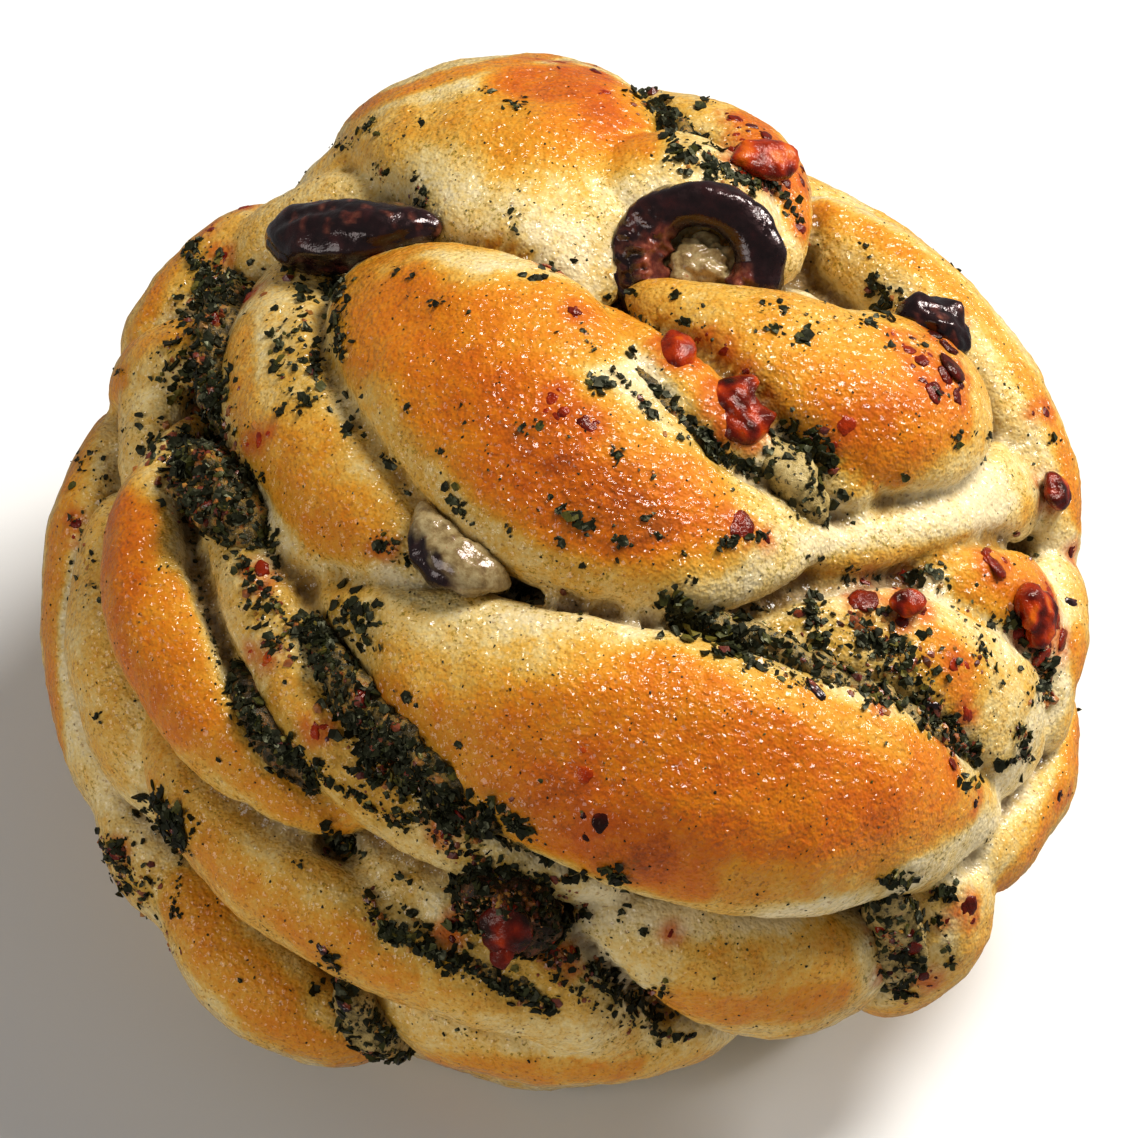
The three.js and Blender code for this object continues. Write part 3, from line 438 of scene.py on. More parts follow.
# Masses of chopped herb: points, half width in pixels, flakes, largest flake in pixels, and the
# share of crumbs of garlic, onion and tomato among them.
HERB_MASSES = [
    ([(324, 834), (340, 848), (356, 850)], 12, 60, 12, 0.1),
    ([(520, 592), (536, 598)], 8, 26, 10, 0.1),
    ([(760, 180), (790, 200), (795, 220)], 10, 30, 11, 0.3),
    ([(380, 540), (410, 556), (426, 566)], 9, 20, 10, 0.3),
    ([(562, 908), (580, 918)], 12, 40, 10, 0.2),
    ([(172, 360), (200, 372), (216, 402)], 22, 90, 13, 0.25),
    ([(150, 446), (176, 470), (190, 505)], 20, 110, 13, 0.25),
    ([(182, 240), (210, 262), (236, 290)], 22, 80, 12, 0.2),
    ([(205, 285), (190, 312), (176, 340)], 16, 60, 12, 0.25),
    ([(292, 262), (300, 300), (312, 340), (318, 390)], 24, 90, 15, 0.1),
    ([(330, 268), (338, 310), (340, 350)], 12, 36, 14, 0.05),
    ([(238, 556), (256, 590), (272, 630), (285, 655)], 14, 70, 11, 0.35),
    ([(292, 622), (318, 660)], 14, 50, 12, 0.2),
    ([(348, 604), (372, 616), (366, 640)], 14, 40, 13, 0.1),
    ([(352, 716), (396, 760), (440, 800), (478, 838)], 22, 240, 14, 0.15),
    ([(400, 812), (450, 846), (490, 862)], 9, 70, 10, 0.25),
    ([(244, 706), (270, 742), (310, 772)], 11, 110, 12, 0.05),
    ([(155, 800), (170, 815), (182, 842)], 14, 90, 15, 0.1),
    ([(66, 440), (90, 470), (104, 500)], 16, 26, 10, 0.1),
    ([(70, 518), (92, 560), (84, 600)], 12, 22, 8, 0.4),
    ([(100, 838), (122, 862), (144, 895)], 15, 60, 10, 0.5),
    ([(742, 262), (744, 250), (770, 262)], 9, 40, 11, 0.1),
    ([(700, 150), (712, 168), (742, 178), (768, 186)], 13, 70, 14, 0.15),
    ([(634, 78), (652, 92), (668, 120)], 12, 60, 15, 0.1),
    ([(876, 286), (892, 300), (874, 320)], 16, 26, 12, 0.1),
    ([(782, 428), (806, 440), (832, 470)], 14, 60, 15, 0.1),
    ([(700, 430), (724, 452), (748, 470)], 9, 46, 14, 0.05),
    ([(668, 600), (692, 624), (726, 646), (756, 660)], 17, 130, 18, 0.05),
    ([(796, 606), (812, 620), (824, 640)], 12, 40, 14, 0.1),
    ([(862, 620), (884, 648), (912, 660), (926, 690)], 22, 120, 13, 0.35),
    ([(852, 690), (880, 690), (905, 700)], 16, 44, 12, 0.4),
    ([(1010, 614), (1030, 636), (1046, 668), (1042, 700)], 15, 90, 15, 0.3),
    ([(920, 706), (952, 734), (972, 752)], 16, 80, 12, 0.45),
    ([(1018, 724), (1030, 760), (1000, 764)], 9, 40, 12, 0.2),
    ([(836, 590), (860, 580), (930, 572), (952, 590)], 12, 34, 12, 0.15),
    ([(780, 640), (810, 660), (850, 672)], 18, 40, 8, 0.3),
    ([(962, 610), (980, 640), (990, 680)], 16, 34, 9, 0.4),
    ([(636, 82), (655, 105), (670, 130), (682, 158)], 12, 90, 13, 0.1),
    ([(690, 160), (730, 176), (770, 188)], 11, 70, 12, 0.2),
    ([(700, 104), (712, 100)], 8, 10, 12, 0.1),
    ([(307, 150), (325, 144), (352, 145)], 8, 34, 9, 0.1),
    ([(386, 169), (375, 180)], 10, 14, 8, 0.2),
    ([(415, 172), (425, 200), (420, 212), (400, 208)], 9, 60, 9, 0.1),
    ([(195, 268), (225, 285), (220, 300), (200, 296)], 17, 90, 11, 0.15),
    ([(205, 318), (222, 322)], 10, 20, 9, 0.6),
    ([(196, 356), (212, 385), (218, 420)], 18, 130, 12, 0.35),
    ([(186, 378), (178, 392)], 9, 22, 11, 0.3),
    ([(165, 440), (200, 440), (235, 450)], 17, 110, 13, 0.35),
    ([(175, 470), (215, 475), (245, 470)], 20, 150, 12, 0.35),
    ([(190, 500), (220, 512), (235, 520)], 15, 80, 11, 0.45),
    ([(252, 470), (265, 510), (270, 545), (280, 580)], 7, 60, 9, 0.05),
    ([(192, 530), (196, 560), (204, 610), (220, 670)], 3, 40, 6, 0.0),
    ([(266, 590), (278, 612)], 10, 26, 10, 0.6),
    ([(300, 628), (322, 622), (330, 640)], 12, 50, 12, 0.25),
    ([(300, 655), (325, 668), (345, 680)], 10, 30, 9, 0.35),
    ([(338, 706), (352, 722), (378, 748)], 15, 80, 11, 0.15),
    ([(385, 755), (410, 780), (430, 800), (455, 820)], 19, 240, 11, 0.2),
    ([(365, 770), (385, 785)], 12, 50, 12, 0.1),
    ([(470, 812), (500, 812), (525, 830)], 13, 110, 12, 0.15),
    ([(237, 690), (252, 720), (280, 745), (308, 768), (330, 782)], 9, 150, 9, 0.1),
    ([(350, 790), (375, 810), (400, 825)], 8, 60, 9, 0.2),
    ([(608, 872), (620, 880)], 12, 34, 13, 0.0),
    ([(562, 878), (585, 878)], 7, 14, 11, 0.1),
    ([(466, 868), (500, 872), (545, 882)], 9, 80, 9, 0.1),
    ([(468, 905), (500, 905), (540, 905)], 26, 200, 11, 0.65),
    ([(466, 925), (475, 915)], 11, 40, 13, 0.1),
    ([(540, 960), (575, 958)], 11, 46, 11, 0.45),
    ([(592, 965), (612, 985), (632, 1005), (655, 1020)], 14, 130, 13, 0.15),
    ([(640, 990), (668, 992)], 8, 26, 10, 0.3),
    ([(560, 980), (590, 1000), (620, 1020), (660, 1034), (690, 1038)], 8, 60, 9, 0.15),
    ([(366, 895), (376, 918)], 9, 36, 10, 0.4),
    ([(384, 928), (410, 942), (440, 955)], 11, 100, 13, 0.15),
    ([(450, 958), (490, 982), (520, 995), (550, 1008)], 11, 110, 13, 0.15),
    ([(672, 606), (690, 622), (715, 634), (745, 652)], 12, 150, 15, 0.05),
    ([(762, 662), (790, 676), (815, 690)], 9, 34, 9, 0.3),
    ([(783, 662), (810, 655), (825, 640)], 14, 30, 9, 0.1),
    ([(808, 616), (820, 612)], 11, 24, 12, 0.1),
    ([(862, 632), (880, 645), (900, 650)], 14, 70, 11, 0.2),
    ([(885, 668), (905, 672)], 10, 26, 9, 0.5),
    ([(925, 712), (945, 730), (962, 745)], 13, 60, 11, 0.5),
    ([(950, 718), (958, 735), (972, 750)], 6, 26, 11, 0.1),
    ([(1012, 620), (1030, 625)], 10, 34, 14, 0.1),
    ([(1040, 648), (1046, 670), (1044, 690)], 11, 60, 12, 0.3),
    ([(1022, 735), (1030, 755)], 9, 26, 10, 0.3),
    ([(696, 434), (722, 456), (752, 466), (772, 476)], 8, 70, 12, 0.05),
    ([(806, 432), (820, 442), (830, 458)], 10, 46, 11, 0.1),
    ([(605, 296), (630, 312), (655, 328)], 3, 18, 9, 0.0),
    ([(578, 318), (590, 345), (612, 372), (640, 400), (665, 428)], 4, 34, 9, 0.1),
    ([(720, 545), (740, 541), (762, 534)], 6, 26, 10, 0.1),
    ([(155, 800), (168, 818), (178, 840)], 11, 90, 11, 0.2),
    ([(104, 846), (118, 866), (122, 890)], 14, 90, 9, 0.4),
    ([(135, 912), (155, 930), (172, 950)], 9, 70, 9, 0.35),
    ([(182, 850), (178, 880), (172, 920)], 4, 30, 7, 0.1),
    ([(320, 948), (336, 966), (345, 985)], 7, 44, 10, 0.2),
    ([(372, 1020), (388, 1034)], 9, 40, 11, 0.2),
    ([(372, 1054), (395, 1062), (420, 1074)], 9, 60, 9, 0.45),
    ([(888, 878), (905, 884)], 9, 44, 12, 0.0),
    ([(935, 888), (950, 896)], 8, 30, 12, 0.1),
    ([(908, 900), (914, 904)], 6, 10, 10, 0.0),
    ([(936, 915), (940, 930)], 7, 16, 10, 0.2),
    ([(888, 935), (905, 955), (912, 975)], 13, 70, 9, 0.6),
    ([(896, 990), (912, 994)], 8, 40, 10, 0.3),
    ([(948, 950), (952, 960)], 6, 14, 10, 0.1),
    ([(348, 605), (362, 622), (358, 634)], 13, 26, 11, 0.1),
    ([(318, 288), (336, 296), (340, 284)], 14, 34, 14, 0.0),
    ([(276, 330), (280, 350), (278, 366)], 9, 26, 13, 0.0),
    ([(300, 398), (308, 406)], 8, 12, 13, 0.0),
    ([(338, 316), (340, 344), (344, 358)], 8, 24, 10, 0.1),
    ([(365, 128), (372, 124)], 9, 16, 10, 0.0),
    ([(515, 106), (527, 108)], 9, 14, 11, 0.0),
    ([(376, 544), (386, 550)], 8, 12, 9, 0.2),
]

# Single flakes: place and width in pixels.
FLAKES = [
    (422, 123, 11), (396, 125, 4), (407, 128, 4), (404, 137, 6), (491, 92, 13), (486, 88, 8),
    (511, 212, 12), (515, 230, 11), (532, 251, 5), (551, 266, 9), (538, 278, 20), (413, 277, 9),
    (398, 271, 11), (408, 297, 6), (436, 305, 13), (408, 407, 13), (557, 333, 7), (469, 312, 7),
    (461, 405, 8), (465, 423, 6), (521, 429, 10), (539, 427, 11), (569, 438, 6), (441, 452, 9),
    (418, 358, 3), (600, 384, 26), (620, 377, 10), (650, 414, 13), (680, 438, 10), (617, 455, 15),
    (639, 470, 5), (653, 477, 9), (550, 497, 8), (572, 517, 21), (588, 526, 16), (646, 518, 13),
    (562, 543, 12), (510, 530, 9), (473, 524, 8), (624, 541, 15), (658, 537, 11), (614, 526, 5),
    (684, 554, 10), (583, 565, 9), (617, 560, 8), (653, 564, 4), (694, 580, 10), (732, 490, 6),
    (454, 501, 23), (463, 512, 12), (409, 559, 14), (392, 464, 15), (348, 429, 17), (406, 493, 9),
    (362, 396, 8), (359, 411, 6), (386, 462, 10), (330, 410, 8), (281, 411, 15), (291, 391, 10),
    (304, 405, 14), (304, 361, 11), (297, 331, 11), (248, 427, 5), (119, 372, 10), (134, 374, 6),
    (159, 379, 12), (123, 431, 9), (90, 453, 10), (77, 459, 9), (104, 459, 8), (63, 482, 5),
    (85, 488, 4), (83, 512, 6), (60, 559, 6), (72, 562, 7), (168, 566, 6), (97, 716, 14),
    (219, 759, 8), (310, 794, 7), (406, 696, 15), (458, 744, 11), (580, 614, 9), (643, 629, 4),
    (541, 781, 8), (200, 633, 3), (285, 682, 6), (196, 581, 7), (300, 866, 10), (208, 906, 4),
    (182, 914, 4), (267, 930, 5), (240, 980, 8), (290, 990, 4), (314, 991, 14), (401, 877, 11),
    (410, 882, 10), (529, 1060, 6), (621, 912, 11), (643, 931, 12), (691, 908, 8), (756, 905, 6),
    (787, 903, 5), (744, 910, 3), (882, 860, 5), (909, 837, 4), (666, 160, 11), (652, 156, 6),
    (680, 171, 8), (676, 296, 13), (703, 306, 8), (687, 322, 15), (733, 332, 4), (713, 340, 7),
    (865, 246, 9), (870, 257, 6), (876, 286, 18), (783, 308, 15), (763, 303, 9), (824, 303, 6),
    (756, 331, 7), (766, 329, 8), (775, 331, 11), (784, 334, 8), (805, 336, 22), (868, 323, 15),
    (886, 314, 14), (835, 318, 5), (890, 345, 11), (924, 345, 10), (937, 393, 11), (949, 395, 7),
    (850, 318, 5), (959, 438, 13), (958, 446, 11), (976, 433, 8), (989, 436, 10), (904, 477, 10),
    (1034, 464, 7), (1053, 438, 12), (808, 485, 12), (811, 487, 9), (772, 493, 8), (780, 494, 5),
    (822, 496, 8), (841, 494, 15), (797, 518, 9), (852, 523, 7), (807, 557, 8), (820, 559, 10),
    (846, 578, 13), (911, 579, 14), (938, 574, 17), (930, 572, 10), (1014, 564, 8), (1037, 556, 8),
    (796, 611, 10), (743, 612, 12), (759, 610, 11), (772, 660, 13), (789, 651, 10), (923, 633, 10),
    (941, 649, 8), (990, 626, 14), (874, 695, 18), (815, 673, 12), (885, 744, 7), (998, 764, 16),
    (966, 786, 20), (958, 782, 11), (1042, 818, 4), (1034, 849, 5), (959, 600, 5), (976, 585, 7),
    (952, 607, 7), (867, 671, 5), (837, 687, 4), (901, 672, 6), (912, 670, 6), (960, 700, 4),
    (1022, 700, 4), (1008, 676, 4), (830, 925, 3), (855, 977, 3), (757, 1025, 4), (725, 1018, 4),
    (477, 1033, 3), (512, 1026, 3), (484, 930, 10), (556, 977, 13), (488, 826, 8), (540, 705, 3),
]

# Bits of dried tomato: place, width and height in pixels, and how dark, from 0 to 1.
TOMATO_BITS = [
    (736, 118, 16, 12, 0.5), (752, 112, 15, 11, 0.6), (766, 118, 15, 12, 0.65), (779, 127, 14, 13, 0.6),
    (789, 139, 13, 14, 0.7), (797, 153, 12, 15, 0.65), (802, 168, 11, 14, 0.6), (803, 184, 10, 14, 0.6),
    (730, 150, 14, 14, 0.35), (744, 176, 15, 13, 0.4), (772, 168, 15, 13, 0.5), (784, 182, 12, 14, 0.5),
    (932, 334, 26, 18, 0.85), (950, 346, 30, 26, 0.7), (956, 396, 22, 18, 0.6), (936, 392, 24, 20, 0.5),
    (906, 348, 18, 13, 0.4), (922, 360, 20, 18, 0.45), (1052, 600, 26, 22, 0.3), (1040, 660, 22, 20, 0.35),
    (576, 312, 13, 15, 0.5), (552, 399, 13, 13, 0.35), (567, 412, 20, 17, 0.35),
    (588, 422, 20, 21, 0.45), (738, 526, 33, 24, 0.5), (745, 388, 22, 22, 0.55),
    (754, 414, 32, 26, 0.35), (845, 427, 17, 18, 0.3), (954, 368, 34, 32, 0.75),
    (945, 376, 20, 18, 0.6), (258, 439, 12, 16, 0.3), (248, 296, 15, 13, 0.3),
    (247, 207, 15, 12, 0.45), (225, 257, 13, 11, 0.4), (216, 320, 15, 10, 0.6),
    (210, 229, 9, 10, 0.5), (262, 572, 15, 22, 0.4), (268, 655, 14, 12, 0.1),
    (367, 699, 15, 25, 0.6), (315, 730, 13, 20, 0.25), (585, 774, 14, 18, 0.15),
    (597, 822, 21, 17, 0.9), (504, 946, 36, 25, 0.5), (452, 937, 8, 9, 0.6),
    (671, 934, 8, 9, 0.5), (863, 598, 28, 22, 0.5), (915, 604, 26, 36, 0.45),
    (902, 622, 14, 14, 0.7), (994, 563, 30, 26, 0.4), (1056, 617, 32, 30, 0.35),
    (1062, 642, 26, 28, 0.45), (1022, 634, 16, 18, 0.5), (967, 715, 13, 19, 0.4),
    (953, 762, 14, 17, 0.5), (958, 663, 22, 14, 0.35), (945, 738, 12, 9, 0.6),
    (976, 803, 9, 10, 0.9), (1060, 797, 10, 14, 0.95), (967, 908, 18, 22, 0.6),
    (882, 930, 12, 12, 0.45), (908, 950, 20, 20, 0.6), (888, 975, 12, 10, 0.8),
    (926, 978, 16, 12, 0.6), (1046, 411, 13, 15, 0.6), (800, 229, 11, 15, 0.5),
    (752, 126, 16, 13, 0.65), (768, 136, 18, 14, 0.6), (782, 148, 18, 16, 0.65),
    (793, 163, 13, 20, 0.7), (742, 146, 18, 15, 0.45), (752, 165, 22, 18, 0.4),
    (560, 62, 22, 12, 0.45), (596, 72, 24, 13, 0.6), (602, 92, 13, 12, 0.4),
    (115, 852, 14, 13, 0.6), (404, 1076, 18, 9, 0.7), (556, 952, 14, 10, 0.3),
    (573, 955, 16, 11, 0.3), (380, 548, 11, 9, 0.4), (75, 523, 11, 13, 0.5),
    (458, 815, 12, 12, 0.5), (444, 835, 14, 11, 0.6), (700, 340, 10, 9, 0.4),
    (1071, 553, 10, 16, 0.6), (724, 352, 10, 8, 0.5), (880, 712, 9, 9, 0.4),
]

# Small bits of olive flesh: place, width and height in pixels.
OLIVE_BITS = [
    (815, 689, 30, 13), (931, 712, 26, 20), (342, 1004, 13, 22), (322, 950, 15, 12),
    (1070, 602, 9, 22), (504, 880, 16, 12), (170, 822, 16, 24),
]


# ---- Places on the mound ---------------------------------------------------------------------

def direction(places):
    """Unit vectors towards places given as (azimuth, latitude)."""
    azimuth, latitude = np.radians(np.asarray(places, float)).T
    across = np.cos(latitude)
    return np.stack([across * np.sin(azimuth), -across * np.cos(azimuth), np.sin(latitude)], -1)


def unit(vectors):
    return vectors / np.linalg.norm(vectors, axis=-1, keepdims=True)


def mound_radii(units):
    """Radii of the mound for each direction, as it is deeper above its middle than below."""
    height = np.where(units[..., 2] >= 0, MOUND["rise"], MOUND["drop"])
    width = np.full_like(height, MOUND["half_width"])
    return np.stack([width, np.full_like(height, MOUND["half_depth"]), height], -1)


def mound_normal(units):
    return unit(units / mound_radii(units))


def mound_point(units, lift):
    """Points so many millimetres off the mound, in each direction."""
    points = units * mound_radii(units) + np.array([0, 0, MOUND["middle"]])
    return points + mound_normal(units) * np.asarray(lift, float)[..., None]


class Waves:
    """A smooth random field over space, with grains of about the given size in millimetres."""

    def __init__(self, grain, seed, count=24):
        rng = np.random.default_rng(seed)
        pace = 2 * math.pi / grain * rng.uniform(0.7, 1.4, (count, 1))
        self.pace = unit(rng.normal(size=(count, 3))) * pace
        self.phase = rng.uniform(0, 2 * math.pi, count)

    def __call__(self, points):
        total = np.cos(np.asarray(points) @ self.pace.T + self.phase).sum(-1)
        return total * math.sqrt(2 / len(self.phase))


def smooth_step(low, high, value):
    """From 0 at low to 1 at high, with soft ends."""
    share = np.clip((value - low) / (high - low), 0, 1)
    return share * share * (3 - 2 * share)


def running_length(points):
    """How far along a line each of its points lies."""
    return np.concatenate([[0], np.cumsum(np.linalg.norm(np.diff(points, axis=0), axis=1))])


# ---- Rolls -----------------------------------------------------------------------------------

def spline(control, t):
    """Uniform Catmull-Rom curve through the control points, its ends carried on in line."""
    padded = np.vstack([2 * control[0] - control[1], control, 2 * control[-1] - control[-2]])
    place = np.clip(t, 0, 1) * (len(control) - 1)
    span = np.minimum(place.astype(int), len(control) - 2)
    f = (place - span)[:, None]
    a, b, c, d = (padded[span + k] for k in range(4))
    bend = (2 * a - 5 * b + 4 * c - d) * f * f + (3 * b - a - 3 * c + d) * f * f * f
    return 0.5 * (2 * b + (c - a) * f + bend)


def route_units(route, t):
    """Directions at even steps along a route."""
    control = direction(route)
    fine = np.linspace(0, 1, 400)
    length = running_length(spline(control, fine))
    return unit(spline(control, np.interp(np.clip(t, 0, 1) * length[-1], length, fine)))


def swell(t, roll, values):
    """A value that swells from the start to the fattest place of a roll and falls to its end."""
    before = t < roll["fattest"]
    share = np.where(before, t / roll["fattest"], (1 - t) / (1 - roll["fattest"]))
    full = np.sin(np.pi / 2 * np.clip(share, 0, 1)) ** roll["taper"]
    return np.where(before, values[0], values[2]) * (1 - full) + values[1] * full


def roll_frames(roll, t):
    """Middle line, side, outward direction and half width of a roll at each t."""
    step = 0.004
    middle = mound_point(route_units(roll["route"], t), swell(t, roll, roll["lift"]))
    ahead = mound_point(route_units(roll["route"], t + step), swell(t + step, roll, roll["lift"]))
    behind = mound_point(route_units(roll["route"], t - step), swell(t - step, roll, roll["lift"]))
    along = unit(ahead - behind)
    normal = mound_normal(route_units(roll["route"], t))
    normal = unit(normal - along * (normal * along).sum(-1, keepdims=True))
    side = np.cross(along, normal)
    rounding = np.sqrt(np.clip(1 - np.abs(2 * t - 1) ** END_FULLNESS, 0, 1))
    width = roll["wide"] * rounding * swell(t, roll, (roll["tips"][0], 1, roll["tips"][1]))
    return middle, side, normal, width


def roll_length(roll):
    """Length of a roll's route over the mound."""
    middle = mound_point(route_units(roll["route"], np.linspace(0, 1, 30)), np.zeros(30))
    return np.linalg.norm(np.diff(middle, axis=0), axis=1).sum()


def roll_mesh(roll, facet, wrinkle=None):
    """Closed skin of a roll. wrinkle(t, angle, points) gives a factor on its half width."""
    rings = max(8, round(roll_length(roll) / facet))
    sides = max(12, round(2 * math.pi * roll["wide"] / facet))
    even = np.arange(1, rings) / rings
    t = (even + (1 - np.cos(np.pi * even)) / 2) / 2
    middle, side, normal, width = roll_frames(roll, t)
    angle = 2 * np.pi * np.arange(sides) / sides
    reach = side[:, None] * np.cos(angle)[None, :, None]
    reach = reach + roll["flat"] * normal[:, None] * np.sin(angle)[None, :, None]
    offset = reach * width[:, None, None]
    if wrinkle:
        factor = wrinkle(t[:, None], angle[None, :], middle[:, None] + offset)
        offset = offset * factor[..., None]
    skin = (middle[:, None] + offset).reshape(-1, 3)
    ends = mound_point(route_units(roll["route"], np.array([0.0, 1.0])), roll["lift"][::2])
    corner = np.arange(sides)
    following = (corner + 1) % sides
    faces = []
    for here in sides * np.arange(rings - 2):
        faces += np.stack([here + following, here + corner,
                           here + sides + corner, here + sides + following], -1).tolist()
    first, last, top = len(skin), len(skin) + 1, (rings - 2) * sides
    faces += np.stack([corner, following, np.full(sides, first)], -1).tolist()
    faces += np.stack([top + following, top + corner, np.full(sides, last)], -1).tolist()
    return np.vstack([skin, ends]), faces


def leaning_rolls(ring):
    """The folds of a ring that lean to the right and climb as they go."""
    rolls = []
    for k in range(ring["count"]):
        azimuth = ring["first_azimuth"] + ring["step"] * k
        latitude = ring["start_latitude"] + ring["latitude_step"] * k
        climb = ring["climb"] + ring["climb_step"] * k
        route = [
            (azimuth, latitude),
            (azimuth + ring["lean"] / 2, latitude + ring["climbed_halfway"] * climb),
            (azimuth + ring["lean"], latitude + climb)]
        wide = ring["wide"] - ring["narrowing"] * k
        rolls.append(fold(route, wide, *(ring[key] for key in ("fattest", "tips", "lift", "flat"))))
    return rolls


# ---- Mesh helpers ----------------------------------------------------------------------------

def merge(parts):
    """Joins (points, faces) pairs into one."""
    points, faces, start = [], [], 0
    for part_points, part_faces in parts:
        points.append(part_points)
        faces += [[start + i for i in face] for face in part_faces]
        start += len(part_points)
    return np.vstack(points), faces


def set_mark(piece, mark, values):
    """One number per point, or one for all, that the piece's material reads."""
    layer = piece.data.attributes.get(mark) or piece.data.attributes.new(mark, "FLOAT", "POINT")
    spread = np.broadcast_to(values, len(piece.data.vertices))
    layer.data.foreach_set("value", spread.astype(np.float32))


def make_object(name, points, faces, smooth=True, marks=None):
    """A mesh object from points in millimetres."""
    mesh = bpy.data.meshes.new(name)
    mesh.from_pydata((np.asarray(points) * MM).tolist(), [], faces)
    if smooth:
        mesh.shade_smooth()
    else:
        mesh.shade_flat()
    mesh.update()
    piece = bpy.data.objects.new(name, mesh)
    for mark, values in (marks or {}).items():
        set_mark(piece, mark, values)
    bpy.context.scene.collection.objects.link(piece)
    return piece


def vectors_of(piece, kind):
    """The place or the direction of each point of a piece."""
    values = np.empty(len(piece.data.vertices) * 3, np.float32)
    piece.data.vertices.foreach_get(kind, values)
    return values.reshape(-1, 3).astype(float)


def points_of(piece):
    return vectors_of(piece, "co") / MM


def normals_of(piece):
    return vectors_of(piece, "normal")


def set_points(piece, points):
    piece.data.vertices.foreach_set("co", (points * MM).astype(np.float32).ravel())
    piece.data.update()


def edges_of(piece):
    values = np.empty(len(piece.data.edges) * 2, np.int32)
    piece.data.edges.foreach_get("vertices", values)
    return values.reshape(-1, 2)


def relaxed(points, edges, rounds, pull=0.5):
    """Each point drawn towards the middle of its neighbours, round after round."""
    count = len(points)
    degree = np.bincount(edges.ravel(), minlength=count)[:, None]
    for _ in range(rounds):
        total = np.empty_like(points)
        for axis in range(points.shape[1]):
            value = points[:, axis]
            total[:, axis] = np.bincount(edges[:, 0], value[edges[:, 1]], count)
            total[:, axis] += np.bincount(edges[:, 1], value[edges[:, 0]], count)
        points = points + pull * (total / degree - points)
    return points


def nearest_distance(points, targets, block=64):
    """Distance from each point to the nearest of a few targets."""
    best = np.full(len(points), np.inf)
    squares = (points * points).sum(1)
    for start in range(0, len(targets), block):
        group = targets[start:start + block]
        gap = squares[:, None] + (group * group).sum(1)[None] - 2 * points @ group.T
        best = np.minimum(best, gap.min(1))
    return np.sqrt(np.clip(best, 0, None))


# ---- Dough -----------------------------------------------------------------------------------

def closed_stack(columns, rings):
    """Faces over a stack of rings of points, whose last two points close its bottom and top."""
    corner = np.arange(columns)
    following = (corner + 1) % columns
    faces = []
    for here in columns * np.arange(rings - 1):
        faces += np.stack([here + corner, here + following,
                           here + columns + following, here + columns + corner], -1).tolist()
    bottom, top, last = rings * columns, rings * columns + 1, (rings - 1) * columns
    faces += np.stack([np.full(columns, bottom), following, corner], -1).tolist()
    faces += np.stack([np.full(columns, top), last + corner, last + following], -1).tolist()
    return faces


def core_mesh():
    """The inner mound, a little inset."""
    azimuth = np.arange(CORE_COLUMNS) / CORE_COLUMNS * 360
    latitude = np.linspace(-90, 90, CORE_ROWS + 1)[1:-1]
    places = np.stack(np.meshgrid(azimuth, latitude), -1).reshape(-1, 2)
    units = np.vstack([direction(places), [[0, 0, -1], [0, 0, 1]]])
    points = mound_point(units, np.full(len(units), -CORE_INSET))
    return points, closed_stack(CORE_COLUMNS, CORE_ROWS - 1)


def foot_mesh():
    """The rounded foot that the bun rests on."""
    bend = np.linspace(0, np.pi / 2, FOOT_STEPS)
    radius = np.append(FOOT["radius"] + FOOT["edge"] * np.sin(bend), FOOT["radius"] + FOOT["edge"])
    height = np.append(FOOT["edge"] * (1 - np.cos(bend)), FOOT["height"])
    turn = 2 * np.pi * np.arange(FOOT_COLUMNS) / FOOT_COLUMNS
    rings = np.stack([radius[:, None] * np.cos(turn), radius[:, None] * np.sin(turn),
                      height[:, None] + 0 * turn], -1).reshape(-1, 3)
    points = np.vstack([rings, [[0, 0, 0], [0, 0, FOOT["height"]]]])
    return points, closed_stack(FOOT_COLUMNS, FOOT_STEPS + 1)


def remesh(piece, voxel):
    """Melts overlapping skins into one."""
    modifier = piece.modifiers.new("melt", "REMESH")
    modifier.mode = "VOXEL"
    modifier.voxel_size = voxel * MM
    modifier.use_smooth_shade = True
    graph = bpy.context.evaluated_depsgraph_get()
    mesh = bpy.data.meshes.new_from_object(piece.evaluated_get(graph))
    piece.modifiers.clear()
    old = piece.data
    piece.data = mesh
    bpy.data.meshes.remove(old)
    mesh.name = piece.name


def keep_main_body(piece):
    """Drops loose scraps and inner skins, keeping the body with the most points."""
    edges = edges_of(piece)
    label = np.arange(len(piece.data.vertices))
    while True:
        low = np.minimum(label[edges[:, 0]], label[edges[:, 1]])
        fresh = label.copy()
        np.minimum.at(fresh, edges[:, 0], low)
        np.minimum.at(fresh, edges[:, 1], low)
        fresh = fresh[fresh]
        if (fresh == label).all():
            break
        label = fresh
    main = np.bincount(label).argmax()
    if (label == main).all():
        return
    sheet = bmesh.new()
    sheet.from_mesh(piece.data)
    loose = [vertex for vertex in sheet.verts if label[vertex.index] != main]
    bmesh.ops.delete(sheet, geom=loose, context="VERTS")
    sheet.to_mesh(piece.data)
    sheet.free()


def cut_flat(piece):
    """Cuts the base flat at the level it rests on and closes it."""
    sheet = bmesh.new()
    sheet.from_mesh(piece.data)
    everything = list(sheet.verts) + list(sheet.edges) + list(sheet.faces)
    cut = bmesh.ops.bisect_plane(
        sheet, geom=everything, plane_co=(0, 0, 0), plane_no=(0, 0, 1), clear_inner=True)
    rim = [item for item in cut["geom_cut"] if isinstance(item, bmesh.types.BMEdge)]
    bmesh.ops.holes_fill(sheet, edges=rim, sides=0)
    bmesh.ops.recalc_face_normals(sheet, faces=sheet.faces)
    sheet.to_mesh(piece.data)
    sheet.free()


def dough_rolls():
    """All the folds of the dough."""
    folds = list(FRONT_FOLDS.values()) + list(BACK_FOLDS.values())
    return folds + [RIGHT_LEAF] + leaning_rolls(REAR) + leaning_rolls(SILL)


